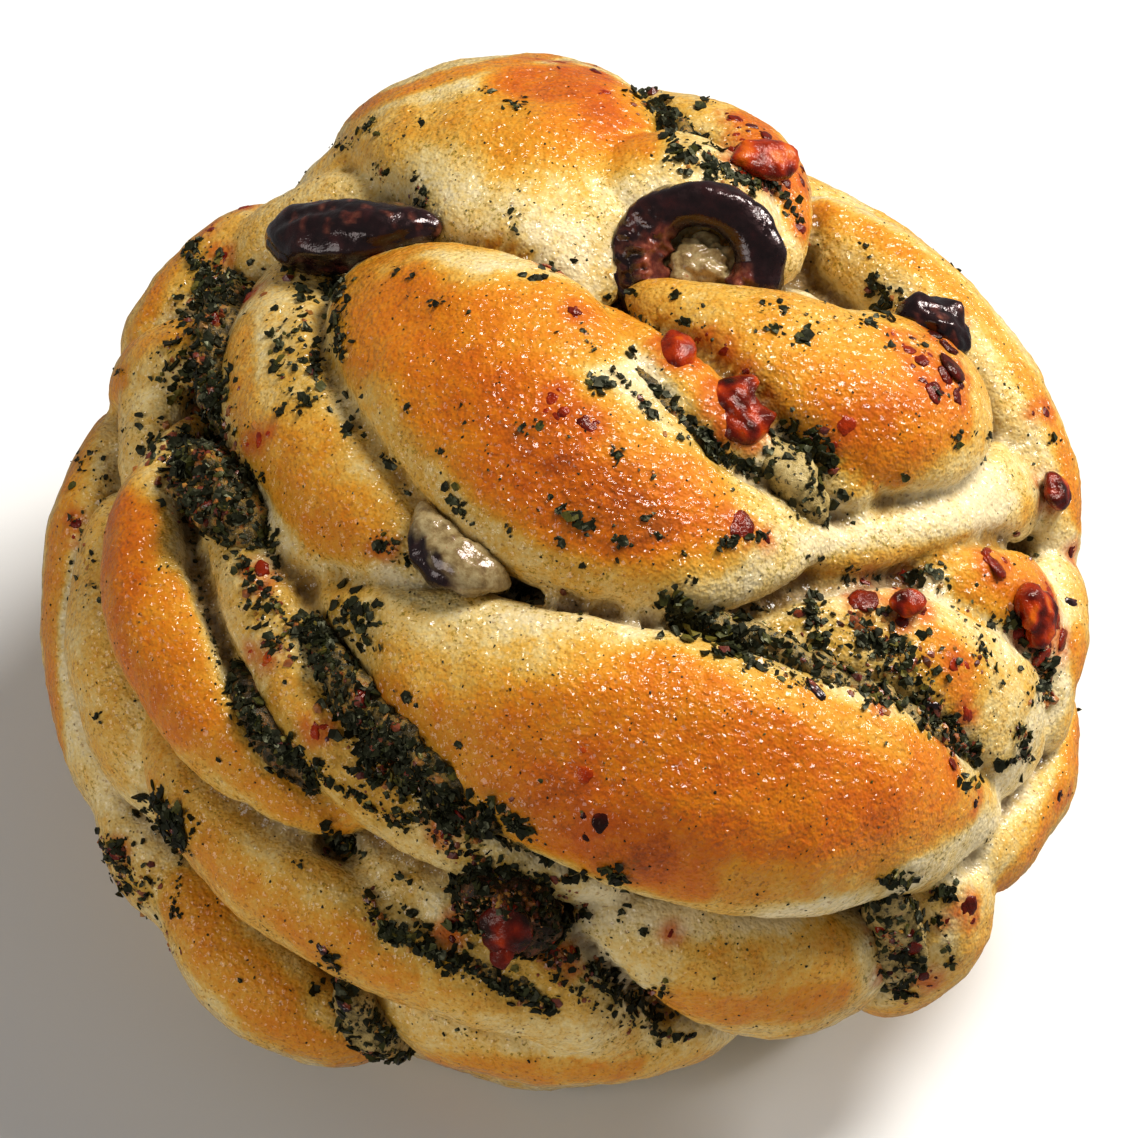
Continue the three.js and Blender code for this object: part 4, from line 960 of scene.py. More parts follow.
def nearest_rolls(points, rolls):
    """For each point, the number of the roll whose skin it lies nearest to."""
    best = np.full(len(points), np.inf)
    owner = np.zeros(len(points), int)
    squares = (points * points).sum(1)
    for number, roll in enumerate(rolls):
        middle, side, normal, width = roll_frames(roll, np.linspace(0.02, 0.98, 48))
        reach = 1.35 * width.max()
        low, high = middle.min(0) - reach, middle.max(0) + reach
        near = np.nonzero(((points > low) & (points < high)).all(1))[0]
        if not len(near):
            continue
        gap = squares[near][:, None] + (middle * middle).sum(1) - 2 * points[near] @ middle.T
        step = gap.argmin(1)
        offset = points[near] - middle[step]
        across = (offset * side[step]).sum(1) / width[step]
        outward = (offset * normal[step]).sum(1) / (roll["flat"] * width[step])
        miss = np.abs(np.hypot(across, outward) - 1) * width[step]
        better = miss < best[near]
        best[near[better]] = miss[better]
        owner[near[better]] = number
    return owner


def dough_skin(rolls):
    """All the rolls melted into one body, cut flat at the base and a little softened."""
    parts = [core_mesh(), foot_mesh()]
    parts += [roll_mesh(roll, ROLL_FACET) for roll in rolls]
    piece = make_object("bun_dough", *merge(parts))
    remesh(piece, VOXEL)
    keep_main_body(piece)
    cut_flat(piece)
    points = points_of(piece)
    fixed = points[:, 2] < BASE_SKIN
    softened = relaxed(points, edges_of(piece), SOFTENING)
    softened[fixed] = points[fixed]
    set_points(piece, softened)
    return piece


def fill_pits(piece):
    """Lifts the floor of the deepest pits between the rolls."""
    points, normals, edges = points_of(piece), normals_of(piece), edges_of(piece)
    softened = relaxed(points, edges, PIT_ROUNDS)
    dip = ((softened - points) * normals).sum(1)
    share = PIT_FILL * smooth_step(*PIT_DEPTHS, dip) * smooth_step(*ABOVE_BASE, points[:, 2])
    set_points(piece, points + share[:, None] * (softened - points))


def deepen_creases(piece):
    """Draws the creases between the rolls in, and gives each point a share of painted shade by how deep it
    lies in one.
    """
    points, normals, edges = points_of(piece), normals_of(piece), edges_of(piece)
    dip = -((points - relaxed(points, edges, CREASE_ROUNDS)) * normals).sum(1)
    above_base = smooth_step(*ABOVE_BASE, points[:, 2])
    depth = np.clip(CREASE_GAIN * (dip - CREASE_LEAST), 0, CREASE_LIMIT) * above_base
    depth = relaxed(depth[:, None], edges, 2)
    set_points(piece, points - normals * depth)
    return smooth_step(*CREASE_SHADES, depth[:, 0] / CREASE_LIMIT)


def raise_relief(piece):
    """Fine unevenness of the crust, fading out towards the base."""
    points, normals = points_of(piece), normals_of(piece)
    height = np.zeros(len(points))
    for grain, reach, seed in RELIEF:
        height += reach * Waves(grain, seed)(points)
    height *= smooth_step(*RELIEF_ABOVE, points[:, 2])
    set_points(piece, points + normals * height[:, None])


# ---- Laying things where the photo shows them ------------------------------------------------

class Skin:
    """The surface of some pieces, to be met by straight lines."""

    def __init__(self, pieces):
        points, faces, start = [], [], 0
        for piece in pieces:
            points.append(points_of(piece))
            faces += [[start + i for i in face.vertices] for face in piece.data.polygons]
            start += len(points[-1])
        self.tree = BVHTree.FromPolygons(np.vstack(points).tolist(), faces)

    def meet(self, origin, ray):
        """Where a line meets the surface and the surface's outward direction, or None."""
        spot, normal, _, _ = self.tree.ray_cast(Vector(origin), Vector(ray))
        if spot is None:
            return None
        normal = np.array(normal)
        return np.array(spot), normal if normal @ ray < 0 else -normal

    def seen_at(self, x, y):
        """What the camera sees at a place in the photo."""
        right = (x - PHOTO_SIDE / 2) / FOCAL_PIXELS
        down = (y - PHOTO_SIDE / 2) / FOCAL_PIXELS
        return self.meet(EYE, unit(VIEW_RIGHT * right - VIEW_UP * down - VIEW_BACK))

    def in_view(self, point, normal):
        """Whether the camera sees a point of the surface."""
        to_eye = unit(EYE - point)
        if normal @ to_eye < 0.05:
            return False
        return self.tree.ray_cast(Vector(point + 0.4 * normal), Vector(to_eye))[0] is None


def stroke_places(points, steps):
    """Places so many pixels along a stroke."""
    length = running_length(points)
    return np.stack([np.interp(steps, length, points[:, k]) for k in range(2)], -1)


def along_stroke(points, pace):
    """Places at even steps along a stroke in the photo."""
    points = np.asarray(points, float)
    whole = running_length(points)[-1]
    return stroke_places(points, np.arange(0, whole + pace, pace).clip(max=whole))


def random_along(points, half_width, count, rng):
    """Random places about a stroke, thinning out to its edges."""
    points = np.asarray(points, float)
    whole = running_length(points)[-1]
    steps = rng.uniform(-0.3 * half_width, whole + 0.3 * half_width, count)
    reach = half_width * np.abs(rng.normal(0, 0.62, count)).clip(max=1.7)
    turn = rng.uniform(0, 2 * np.pi, count)
    return stroke_places(points, steps) + reach[:, None] * np.stack([np.cos(turn), np.sin(turn)], -1)


# ---- Browning of the crust -------------------------------------------------------------------

def painted(points, owner, base, strokes, skin):
    """The base values with strokes of other values painted over them, each mostly on its folds."""
    total = base * BASE_WEIGHT
    weight = np.full(len(points), BASE_WEIGHT)
    for line, radius, value in strokes:
        hits = [skin.seen_at(*spot) for spot in along_stroke(line, STROKE_PACE)]
        spots = np.array([hit[0] for hit in hits if hit])
        if not len(spots):
            continue
        reach = radius / PIXELS_PER_MM
        near = ((points > spots.min(0) - 2 * reach) & (points < spots.max(0) + 2 * reach)).all(1)
        near = np.nonzero(near)[0]
        if not len(near):
            continue
        gap = nearest_distance(points[near], spots)
        nearest = [near[np.argmin(((points[near] - spot) ** 2).sum(1))] for spot in spots]
        own = np.isin(owner[near], owner[nearest])
        share = (1 - smooth_step(*STROKE_EDGE, gap / reach)) * np.where(own, 1, OTHER_FOLD)
        total[near] += share * value
        weight[near] += share
    return total / weight


# ---- Small things: flakes, crumbs and bits ---------------------------------------------------

def upright_frames(normals, tilt, rng):
    """For each direction, a frame tilted by up to some angle and turned at random."""
    count = len(normals)
    normals = unit(normals + np.tan(tilt)[:, None] * unit(rng.normal(size=(count, 3))))
    side = unit(np.cross(normals, unit(rng.normal(size=(count, 3)))))
    return side, np.cross(normals, side), normals


def chip_outline(sizes, wobble, narrowest, widest, rng):
    """Uneven many-sided outlines, one for each size, as places along and across them."""
    shape = (len(sizes), FLAKE_CORNERS)
    turn = 2 * np.pi * (np.arange(FLAKE_CORNERS) + rng.uniform(-wobble, wobble, shape)) / FLAKE_CORNERS
    reach = sizes[:, None] / 2 * rng.uniform(narrowest, widest, shape)
    slim = rng.uniform(0.5, 1.0, len(sizes))[:, None]
    return reach * np.cos(turn), reach * np.sin(turn) * slim


def laid_out(spots, frames, x, y, height):
    """Points given in each spot's own frame, all in one list."""
    side, ahead, up = frames
    points = spots[:, None] + x[..., None] * side[:, None] + y[..., None] * ahead[:, None]
    return (points + height[..., None] * up[:, None]).reshape(-1, 3)


def repeated(faces, each, count):
    """The faces of one small thing for many, and which of them each point is of."""
    faces = (np.array(faces)[None] + each * np.arange(count)[:, None, None]).reshape(-1, 3)
    return faces.tolist(), np.repeat(np.arange(count), each)


def speck_mesh(spots, normals, sizes, lift, tilt, rng):
    """Closed chips with sharp rims, for the smaller flakes, and which one each point is of."""
    corners, count = FLAKE_CORNERS, len(spots)
    frames = upright_frames(normals, tilt, rng)
    x, y = chip_outline(sizes, 0.35, 0.55, 1.2, rng)
    middle = np.zeros((count, 2))
    thick = (0.06 + 0.12 * sizes)[:, None]
    rim = rng.uniform(-0.12, 0.12, (count, corners)) * sizes[:, None]
    height = np.hstack([rim, 0.6 * thick, -0.6 * thick]) + lift[:, None]
    points = laid_out(spots, frames, np.hstack([x, middle]), np.hstack([y, middle]), height)
    faces = []
    for k in range(corners):
        j = (k + 1) % corners
        faces += [(corners, k, j), (corners + 1, j, k)]
    return points, *repeated(faces, corners + 2, count)


def flake_mesh(spots, normals, sizes, lift, tilt, rng):
    """Closed irregular chips, each a little curled, and which flake each point belongs to."""
    corners, count = FLAKE_CORNERS, len(spots)
    frames = upright_frames(normals, tilt, rng)
    x, y = chip_outline(sizes, 0.3, 0.6, 1.15, rng)
    curl = rng.uniform(-0.5, 0.9, count)[:, None] / sizes[:, None]
    height = curl * x * x + rng.uniform(-0.1, 0.1, (count, corners)) * sizes[:, None]
    thick = (0.07 + 0.1 * sizes)[:, None]
    middle = np.zeros((count, 2))
    x = np.hstack([x, x * 0.9, middle])
    y = np.hstack([y, y * 0.9, middle])
    rims = [height + 0.3 * thick, height - 0.7 * thick]
    height = np.hstack([*rims, np.hstack([0.4 * thick, -0.6 * thick])]) + lift[:, None]
    faces = []
    for k in range(corners):
        j = (k + 1) % corners
        faces += [(2 * corners, k, j), (2 * corners + 1, corners + j, corners + k),
                  (k, corners + k, corners + j), (k, corners + j, j)]
    return laid_out(spots, frames, x, y, height), *repeated(faces, 2 * corners + 2, count)


def ball(rounds):
    """Points and triangles of a ball made by splitting an icosahedron."""
    sheet = bmesh.new()
    bmesh.ops.create_icosphere(sheet, subdivisions=rounds, radius=1)
    points = np.array([vertex.co[:] for vertex in sheet.verts])
    faces = np.array([[vertex.index for vertex in face.verts] for face in sheet.faces])
    sheet.free()
    return points, faces


def blob_mesh(spots, normals, sizes, sink, rounds, roughness, rng):
    """Lumpy blobs of given width, length and height, pressed into a surface."""
    shape, triangles = ball(rounds)
    count = len(spots)
    frames = upright_frames(normals, np.full(count, 0.1), rng)
    factor = np.ones((count, len(shape)))
    for grain, share in roughness:
        waves = Waves(grain, int(rng.integers(1 << 30)), 30)
        factor += share * waves(shape[None] + 9.0 * np.arange(count)[:, None, None])
    body = shape[None] * factor[..., None] * sizes[:, None] / 2
    body[..., 2] -= (sink * sizes[:, 2])[:, None]
    points = laid_out(spots, frames, *np.moveaxis(body, 2, 0))
    return points, *repeated(triangles, len(shape), count)


def columns_of(rows):
    """The first values of all rows, the second ones, and so on."""
    return [np.array(column) for column in zip(*rows)]


def ride_bun(piece, material):
    """Gives a piece its material, and makes it part of the bun."""
    piece.data.materials.append(material)
    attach(piece, "root")


def place_piece(name, mesh, node, material, marks):
    """A piece that stands for a solid."""
    piece = make_object(name, *mesh, marks=marks)
    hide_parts(node)
    ride_bun(piece, material)
    return piece


# ---- Olives, tomatoes and fillings -----------------------------------------------------------

def lumpy(layers, seed):
    """A wrinkle for a roll: smooth lumps of about each grain's size."""
    waves = [(Waves(grain, seed + k), depth) for k, (grain, depth) in enumerate(layers)]
    return lambda t, angle, points: 1 + sum(depth * wave(points) for wave, depth in waves)


def ring_lean():
    """The turn that leans the slice of olive back."""
    tilt = math.radians(OLIVE_RING["tilt_back"])
    return np.array([
        [1, 0, 0], [0, math.cos(tilt), -math.sin(tilt)], [0, math.sin(tilt), math.cos(tilt)]])


def ring_seat():
    """The middle of the slice of olive."""
    return mound_point(direction([OLIVE_RING["place"]]), [OLIVE_RING["lift"]])


def ring_mesh():
    """A crosswise slice of a pitted olive, facing up and to the front, and where flesh shows."""
    inner, outer, rim = OLIVE_RING["hole"], OLIVE_RING["outer"], OLIVE_RING["round"]
    half = OLIVE_RING["thick"] / 2
    corners = [(inner + rim, rim - half, 1.0), (outer - rim, rim - half, 1.5),
               (outer - rim, half - rim, 0.0), (inner + rim, half - rim, 0.5)]
    section = []
    for radius, height, start in corners:
        bend = np.pi * (start + np.linspace(0, 0.5, RING_STEPS))
        section.append(np.stack([radius + rim * np.cos(bend), height + rim * np.sin(bend)], -1))
    section = np.vstack(section)
    turn = 2 * np.pi * np.arange(RING_TURNS) / RING_TURNS
    radius = section[None, :, 0] + 0 * turn[:, None]
    height = section[None, :, 1] + 0 * turn[:, None]
    torn_left = np.exp(-((turn - np.radians(185)) / np.radians(52)) ** 4)
    torn_right = 0.75 * np.exp(-((turn - np.radians(330)) / np.radians(22)) ** 2)
    torn = np.maximum(torn_left, torn_right)[:, None]
    ragged = Waves(1.6, 71)(np.stack([radius * np.cos(turn)[:, None],
                                      radius * np.sin(turn)[:, None], 0 * height], -1))
    face = smooth_step(0.0, 1.2, height)
    ridge_at = inner + 1.0 + 0.9 * torn_left[:, None] + 0.35 * ragged
    ridge = np.exp(-((radius - ridge_at) / 0.55) ** 2) * torn * face
    dish = np.exp(-((radius - ridge_at - 1.9) / 0.9) ** 2) * torn_left[:, None] * face
    inner_edge = 1 - smooth_step(inner, inner + 2.2, radius)
    height = height + 0.75 * ridge - 0.75 * dish
    radius = radius - torn * inner_edge * (0.55 + 0.4 * ragged)
    points = np.stack([
        radius * np.cos(turn)[:, None],
        radius * np.sin(turn)[:, None] * OLIVE_RING["oval"], height], -1).reshape(-1, 3)
    swell_out = 0.12 * Waves(4.2, 72)(points) + 0.025 * Waves(1.3, 73)(points)
    points = points + unit(points) * swell_out[:, None]
    flesh = np.clip(ridge * 1.3 + 0.8 * torn * inner_edge + 0.35 * dish * (ragged > 0), 0, 1)
    width = len(section)
    corner = np.arange(width)
    following = (corner + 1) % width
    faces = []
    for here in range(RING_TURNS):
        there = (here + 1) % RING_TURNS
        faces += np.stack([here * width + corner, there * width + corner,
                           there * width + following, here * width + following], -1).tolist()
    return points @ ring_lean().T + ring_seat(), faces, flesh.ravel()


def ring_filling_mesh():
    """Pale crumbly filling that shows low in the hole of the slice."""
    shape, triangles = ball(5)
    lumps = 1 + 0.1 * Waves(0.9, 74)(shape) + 0.05 * Waves(0.4, 75)(shape)
    body = shape * lumps[:, None] * RING_FILLING["half_size"] + RING_FILLING["middle"]
    return body @ ring_lean().T + ring_seat(), triangles.tolist()


def wedge_wrinkle(t, angle, points):
    """Long wrinkles along a quarter of an olive, with a flat cut along one side."""
    grooves = 0.035 * np.cos(7 * angle + 1.6 * Waves(7.0, 61)(points)) * np.ones_like(t)
    return 1 + grooves + 0.03 * Waves(5.0, 62)(points) + 0.008 * Waves(1.0, 63)(points)


OLIVE_WRINKLES = {
    "olive_wedge": wedge_wrinkle,
    "olive_sliver": lumpy([(3.0, 0.05), (1.0, 0.025)], 64),
    "olive_lump": lumpy([(2.6, 0.1), (1.1, 0.03)], 66),
}


def olive_marks(name, points):
    """Where brown flesh and where pale flesh shows on a piece of olive."""
    ragged = Waves(1.8, 68)(points)
    nothing = np.zeros(len(points))
    if name == "olive_sliver":
        screen_left = (points @ VIEW_RIGHT) * 0.8 + (points @ VIEW_UP) * 0.6
        inside = screen_left - screen_left.min()
        return nothing, 0.85 * smooth_step(1.6, 3.0, inside + 0.5 * ragged)
    if name == "olive_wedge":
        return 0.4 * smooth_step(1.0, 1.8, ragged), nothing
    return 0.5 * smooth_step(0.8, 1.5, ragged), nothing


# ---- Materials -------------------------------------------------------------------------------

def color(red, green, blue):
    """A colour given as seen on a screen, from 0 to 255, in linear light."""
    shares = np.array([red, green, blue]) / 255
    linear = np.where(shares <= 0.04045, shares / 12.92, ((shares + 0.055) / 1.055) ** 2.4)
    return (*linear.tolist(), 1.0)


class Finish:
    """A material and short ways to add nodes to it."""

    def __init__(self, name, rough, **plain):
        self.material = bpy.data.materials.new(name)
        self.material.use_nodes = True
        self.nodes = self.material.node_tree.nodes
        self.shader = self.nodes["Principled BSDF"]
        self.shader.inputs["Roughness"].default_value = rough
        for socket, value in plain.items():
            self.shader.inputs[socket.replace("_", " ")].default_value = value
        self.place = self.nodes.new("ShaderNodeTexCoord").outputs["Object"]

    def feed(self, socket, value):
        if isinstance(value, bpy.types.NodeSocket):
            self.material.node_tree.links.new(value, socket)
        else:
            socket.default_value = value

    def mark(self, name):
        node = self.nodes.new("ShaderNodeAttribute")
        node.attribute_name = name
        return node.outputs["Fac"]

    def noise(self, grain, detail=3, rough=0.5):
        """Noise with grains of some millimetres, from 0 to 1."""
        node = self.nodes.new("ShaderNodeTexNoise")
        node.inputs["Scale"].default_value = 1 / (grain * MM)
        node.inputs["Detail"].default_value = detail
        node.inputs["Roughness"].default_value = rough
        self.feed(node.inputs["Vector"], self.place)
        return node.outputs["Fac"]

    def cells(self, grain):
        """Distance to the middle of the nearest of many small cells."""
        node = self.nodes.new("ShaderNodeTexVoronoi")
        node.inputs["Scale"].default_value = 1 / (grain * MM)
        self.feed(node.inputs["Vector"], self.place)
        return node.outputs["Distance"]

    def math(self, kind, a, b=0.0, c=0.0):
        node = self.nodes.new("ShaderNodeMath")
        node.operation = kind
        for socket, value in zip(node.inputs, (a, b, c)):
            self.feed(socket, value)
        return node.outputs[0]

    def times(self, a, b):
        return self.math("MULTIPLY", a, b)

    def spread(self, value, low, high, to_low=0.0, to_high=1.0):
        """A value's place between low and high, with soft ends."""
        node = self.nodes.new("ShaderNodeMapRange")
        node.interpolation_type = "SMOOTHSTEP"
        for socket, number in zip(node.inputs, (value, low, high, to_low, to_high)):
            self.feed(socket, number)
        return node.outputs[0]

    def ramp(self, value, stops):
        """Shades by a value, from stops of a place and a colour as seen on a screen."""
        node = self.nodes.new("ShaderNodeValToRGB")
        elements = node.color_ramp.elements
        for k, (place, shade) in enumerate(stops):
            if k >= 2:
                elements.new(place)
            elements[k].position = place
            elements[k].color = color(*shade)
        self.feed(node.inputs["Fac"], value)
        return node.outputs["Color"]

    def mix(self, share, a, b):
        """A share of b over a, each a shade that a node gives or a colour as seen on a screen."""
        node = self.nodes.new("ShaderNodeMix")
        node.data_type = "RGBA"
        a, b = (color(*shade) if isinstance(shade, tuple) else shade for shade in (a, b))
        for at, value in ((0, share), (6, a), (7, b)):
            self.feed(node.inputs[at], value)
        return node.outputs[2]

    def bump(self, height, reach, strength=1.0, layer="Normal"):
        """Adds relief of some millimetres on top of any before, for the body or for the glaze."""
        node = self.nodes.new("ShaderNodeBump")
        node.inputs["Strength"].default_value = strength
        node.inputs["Distance"].default_value = reach * MM
        self.feed(node.inputs["Height"], height)
        before = self.shader.inputs[layer].links or self.shader.inputs["Normal"].links
        if before:
            self.feed(node.inputs["Normal"], before[0].from_socket)
        self.feed(self.shader.inputs[layer], node.outputs["Normal"])

    def finish(self, shade, rough=None):
        """Gives the shader its colour and its roughness, and the glaze the body's relief."""
        inputs = self.shader.inputs
        self.feed(inputs["Base Color"], shade)
        if inputs["Normal"].links and not inputs["Coat Normal"].links:
            self.feed(inputs["Coat Normal"], inputs["Normal"].links[0].from_socket)
        if rough is not None:
            self.feed(inputs["Roughness"], rough)
        return self.material


def crust_finish():
    finish = Finish("browned crust", 0.45, Coat_Weight=0.65, Coat_Roughness=0.13,
                    Specular_IOR_Level=0.25, Specular_Tint=(1, 0.5, 0.16, 1))
    broad = finish.noise(8, 1)
    patches = finish.noise(2.2, 2, 0.6)
    grain = finish.noise(0.5, 2, 0.7)
    mottle = finish.math("MULTIPLY_ADD", broad, 0.3, finish.math("MULTIPLY_ADD", patches, 0.4, -0.35))
    mottle = finish.math("MULTIPLY_ADD", grain, 0.36, finish.math("SUBTRACT", mottle, 0.18))
    shade = finish.ramp(finish.math("ADD", finish.mark("bake"), mottle), CRUST_STOPS)
    pores = finish.spread(finish.noise(0.42, 1), 0.62, 0.72)
    shade = finish.mix(finish.times(pores, 0.5), shade, (124, 68, 14))
    green = finish.times(finish.spread(grain, 0.58, 0.66), finish.spread(broad, 0.45, 0.6))
    green = finish.times(green, finish.spread(finish.mark("bake"), 0.2, 0.6, 0.75, 0.15))
    shade = finish.mix(green, shade, (112, 104, 30))
    tint = finish.times(finish.mark("herb"), finish.spread(patches, 0.25, 0.62))
    shade = finish.mix(finish.times(tint, 0.55), shade, (140, 112, 32))
    stain = finish.times(finish.mark("stain"), finish.spread(patches, 0.2, 0.6))
    shade = finish.mix(finish.times(stain, 0.85), shade, (184, 78, 10))
    # Painted shade: the crust is darkened to a dark brown in the creases and the deep hollows.
    crease = finish.times(finish.mark("crease"), finish.spread(patches, 0.1, 0.6, 0.6, 1.0))
    shade = finish.mix(finish.times(crease, 0.85), shade, (84, 52, 12))
    finish.bump(finish.noise(0.6, 1, 0.6), 0.24)
    dome = finish.cells(0.95)
    finish.bump(finish.times(finish.times(dome, -1), dome), 0.55, 0.78, "Coat Normal")
    return finish.finish(shade, finish.spread(patches, 0.3, 0.7, 0.36, 0.62))


def herb_finish():
    finish = Finish("dried herbs", 0.5, Specular_IOR_Level=0.35, Specular_Tint=(1, 1, 0.6, 1))
    shade = finish.ramp(finish.mark("tone"), [
        (0.0, (10, 11, 5)), (0.5, (18, 22, 9)), (0.82, (36, 40, 14)), (0.94, (70, 68, 22)),
        (1.0, (110, 96, 32))])
    shade = finish.mix(finish.spread(finish.noise(0.35), 0.35, 0.7, 0.0, 0.5), shade, (16, 14, 6))
    finish.bump(finish.noise(0.25, 2), 0.05, 0.6)
    return finish.finish(shade, finish.spread(finish.noise(0.6), 0.3, 0.7, 0.3, 0.65))


def crumb_finish():
    finish = Finish("crumbs of garlic, onion and tomato", 0.4, Coat_Weight=0.3, Coat_Roughness=0.15)
    shade = finish.ramp(finish.mark("tone"), [
        (0.0, (190, 146, 56)), (0.3, (166, 100, 30)), (0.55, (136, 66, 20)), (0.8, (112, 36, 14)),
        (1.0, (80, 18, 10))])
    shade = finish.mix(finish.spread(finish.noise(0.5), 0.4, 0.7, 0.0, 0.5), shade, (88, 44, 12))
    finish.bump(finish.noise(0.3, 2), 0.06, 0.6)
    return finish.finish(shade, finish.spread(finish.noise(0.6), 0.3, 0.7, 0.25, 0.55))


def paste_finish():
    finish = Finish("herb paste", 0.45, Coat_Weight=0.2, Coat_Roughness=0.15, Specular_IOR_Level=0.25)
    mixed = finish.noise(1.5, 4, 0.65)
    shade = finish.ramp(mixed, [
        (0.3, (44, 36, 10)), (0.46, (84, 66, 20)), (0.58, (150, 116, 46)), (0.7, (150, 80, 20))])
    honey = finish.ramp(mixed, [(0.3, (128, 104, 46)), (0.5, (190, 164, 100)), (0.7, (212, 190, 130))])
    shade = finish.mix(finish.mark("honey"), shade, honey)
    # Dark purple brown: the lower filling's own colour, and painted shade on the paste in the pocket.
    dark = finish.ramp(mixed, [(0.3, (22, 12, 8)), (0.5, (58, 26, 16)), (0.7, (104, 48, 32))])
    shade = finish.mix(finish.mark("purple_and_shade"), shade, dark)
    bits = finish.math("MULTIPLY_ADD", finish.mark("honey"), -0.06, finish.noise(0.5, 3))
    shade = finish.mix(finish.spread(bits, 0.52, 0.62), shade, (44, 38, 12))
    finish.bump(finish.noise(0.7, 4, 0.7), 0.45, 0.8)
    return finish.finish(shade, finish.spread(finish.noise(0.8), 0.3, 0.7, 0.35, 0.65))


def tomato_finish():
    finish = Finish("dried tomato", 0.4, Coat_Weight=0.4, Coat_Roughness=0.08,
                    Specular_IOR_Level=0.2, Specular_Tint=(1, 0.4, 0.2, 1))
    tone = finish.mark("tone")
    uneven = finish.math("MULTIPLY_ADD", finish.noise(1.8, 3), 0.9, -0.45)
    shade = finish.ramp(finish.math("ADD", tone, uneven), [
        (0.0, (196, 88, 8)), (0.3, (160, 44, 4)), (0.6, (98, 15, 3)), (1.0, (30, 5, 3))])
    finish.bump(finish.noise(1.3, 4, 0.6), 0.6, 0.6)
    return finish.finish(shade, finish.spread(finish.noise(0.8), 0.3, 0.7, 0.2, 0.5))


def olive_finish():
    finish = Finish("olive skin and flesh", 0.25, Coat_Weight=0.7, Coat_Roughness=0.07,
                    Specular_IOR_Level=0.2, Specular_Tint=(1, 0.5, 0.5, 1))
    skin = finish.ramp(finish.noise(2.4, 3, 0.55), [
        (0.3, (9, 4, 5)), (0.52, (22, 8, 10)), (0.7, (42, 15, 16)), (0.86, (66, 26, 24))])
    flesh = finish.ramp(finish.noise(1.2, 4, 0.6), [
        (0.3, (58, 22, 20)), (0.5, (112, 50, 36)), (0.7, (166, 100, 74))])
    shade = finish.mix(finish.mark("flesh"), skin, flesh)
    pale = finish.ramp(finish.noise(1.1, 4, 0.65), [
        (0.28, (96, 72, 42)), (0.45, (146, 122, 78)), (0.62, (182, 162, 116)), (0.74, (156, 96, 62))])
    shade = finish.mix(finish.mark("pale"), shade, pale)
    finish.bump(finish.noise(1.6, 4, 0.6), 0.4, 0.4)
    return finish.finish(shade, finish.spread(finish.noise(0.9), 0.3, 0.7, 0.16, 0.42))


def floor_finish():
    finish = Finish("pale floor", 0.8)
    shade = finish.mix(finish.noise(60, 2), (232, 232, 232), (226, 226, 226))
    return finish.finish(shade)


# ---- What lies on and in the dough -----------------------------------------------------------

def hidden_spots(points, normals, crest, skin, rng, count, crease_share):
    """Places that the camera doesn't see, mostly in the creases."""
    spots = []
    in_crease = np.clip(-crest, 0, 2)
    weight = crease_share * in_crease / in_crease.sum() + (1 - crease_share) / len(points)
    weight = weight * (points[:, 2] > 3)
    for pick in rng.choice(len(points), 4 * count, p=weight / weight.sum()):
        if not skin.in_view(points[pick], normals[pick]):
            spots.append((points[pick], normals[pick]))
        if len(spots) == count:
            break
    return spots


def paste_flakes(paste, skin, rng):
    """Flakes all over what shows of a mass of filling."""
    points, normals = points_of(paste), normals_of(paste)
    area = sum(face.area for face in paste.data.polygons) / MM ** 2
    flakes = []
    for pick in rng.integers(0, len(points), round(PASTE_FLAKES * area)):
        hit = skin.meet(points[pick] + 4 * normals[pick], -normals[pick])
        if not hit or np.linalg.norm(hit[0] - points[pick]) > PASTE_REACH:
            continue
        size = 0.5 + 1.25 * rng.random() ** 1.8
        flakes.append((*hit, size, 0.05 + 0.3 * rng.random() ** 2, TILT["paste"]))
    return flakes


def herbs_and_crumbs(skin, pastes, hidden):
    """Chopped herbs and crumbs where the photo shows them, and as many round the back."""
    rng = np.random.default_rng(7)
    flakes, crumbs = [], []
    for x, y, size in FLAKES:
        pieces = [(x, y, size)]
        if size > TORN_FLAKE:
            for shift in rng.normal(0, 0.36 * size, (round(size / 2.6), 2)):
                pieces.append((x + shift[0], y + shift[1], size * rng.uniform(0.25, 0.62)))
        for left, down, width in pieces:
            hit = skin.seen_at(left, down)
            if hit:
                flakes.append((*hit, width / PIXELS_PER_MM, rng.uniform(0.03, 0.22), TILT["lone"]))
    for line, half_width, count, largest, crumb_share in HERB_MASSES:
        for spot in random_along(line, MASS_SPREAD * half_width, round(MASS_COUNT * count), rng):
            hit = skin.seen_at(*spot)
            if not hit:
                continue
            size = MASS_LEAST + (MASS_LARGEST * largest - MASS_LEAST) * rng.random() ** 1.9
            size /= PIXELS_PER_MM
            height = 0.05 + 0.35 * rng.random() ** 2
            if rng.random() < crumb_share:
                crumbs.append((*hit, CRUMB_SIZE * size, rng.random()))
            else:
                flakes.append((*hit, size, height, TILT["mass"]))
    for paste in pastes:
        flakes += paste_flakes(paste, skin, rng)
    for x, y in rng.uniform(*SPECK_RANGE, (SPECKS, 2)):
        hit = skin.seen_at(x, y)
        if hit:
            flakes.append((*hit, rng.uniform(0.18, 0.42), 0.02, TILT["speck"]))
    for spot, normal in hidden:
        for _ in range(int(rng.integers(1, HIDDEN_GROUP))):
            start = spot + 3 * normal + rng.normal(0, 1.5, 3)
            hit = skin.meet(start, -normal)
            if not hit or np.linalg.norm(hit[0] - spot) > 5:
                continue
            size = 0.25 + 1.1 * rng.random() ** 2.2
            if rng.random() < HIDDEN_CRUMBS:
                crumbs.append((*hit, CRUMB_SIZE * size, rng.random()))
            else:
                flakes.append((*hit, size, 0.05 + 0.25 * rng.random() ** 2, TILT["hidden"]))
    return flakes, crumbs


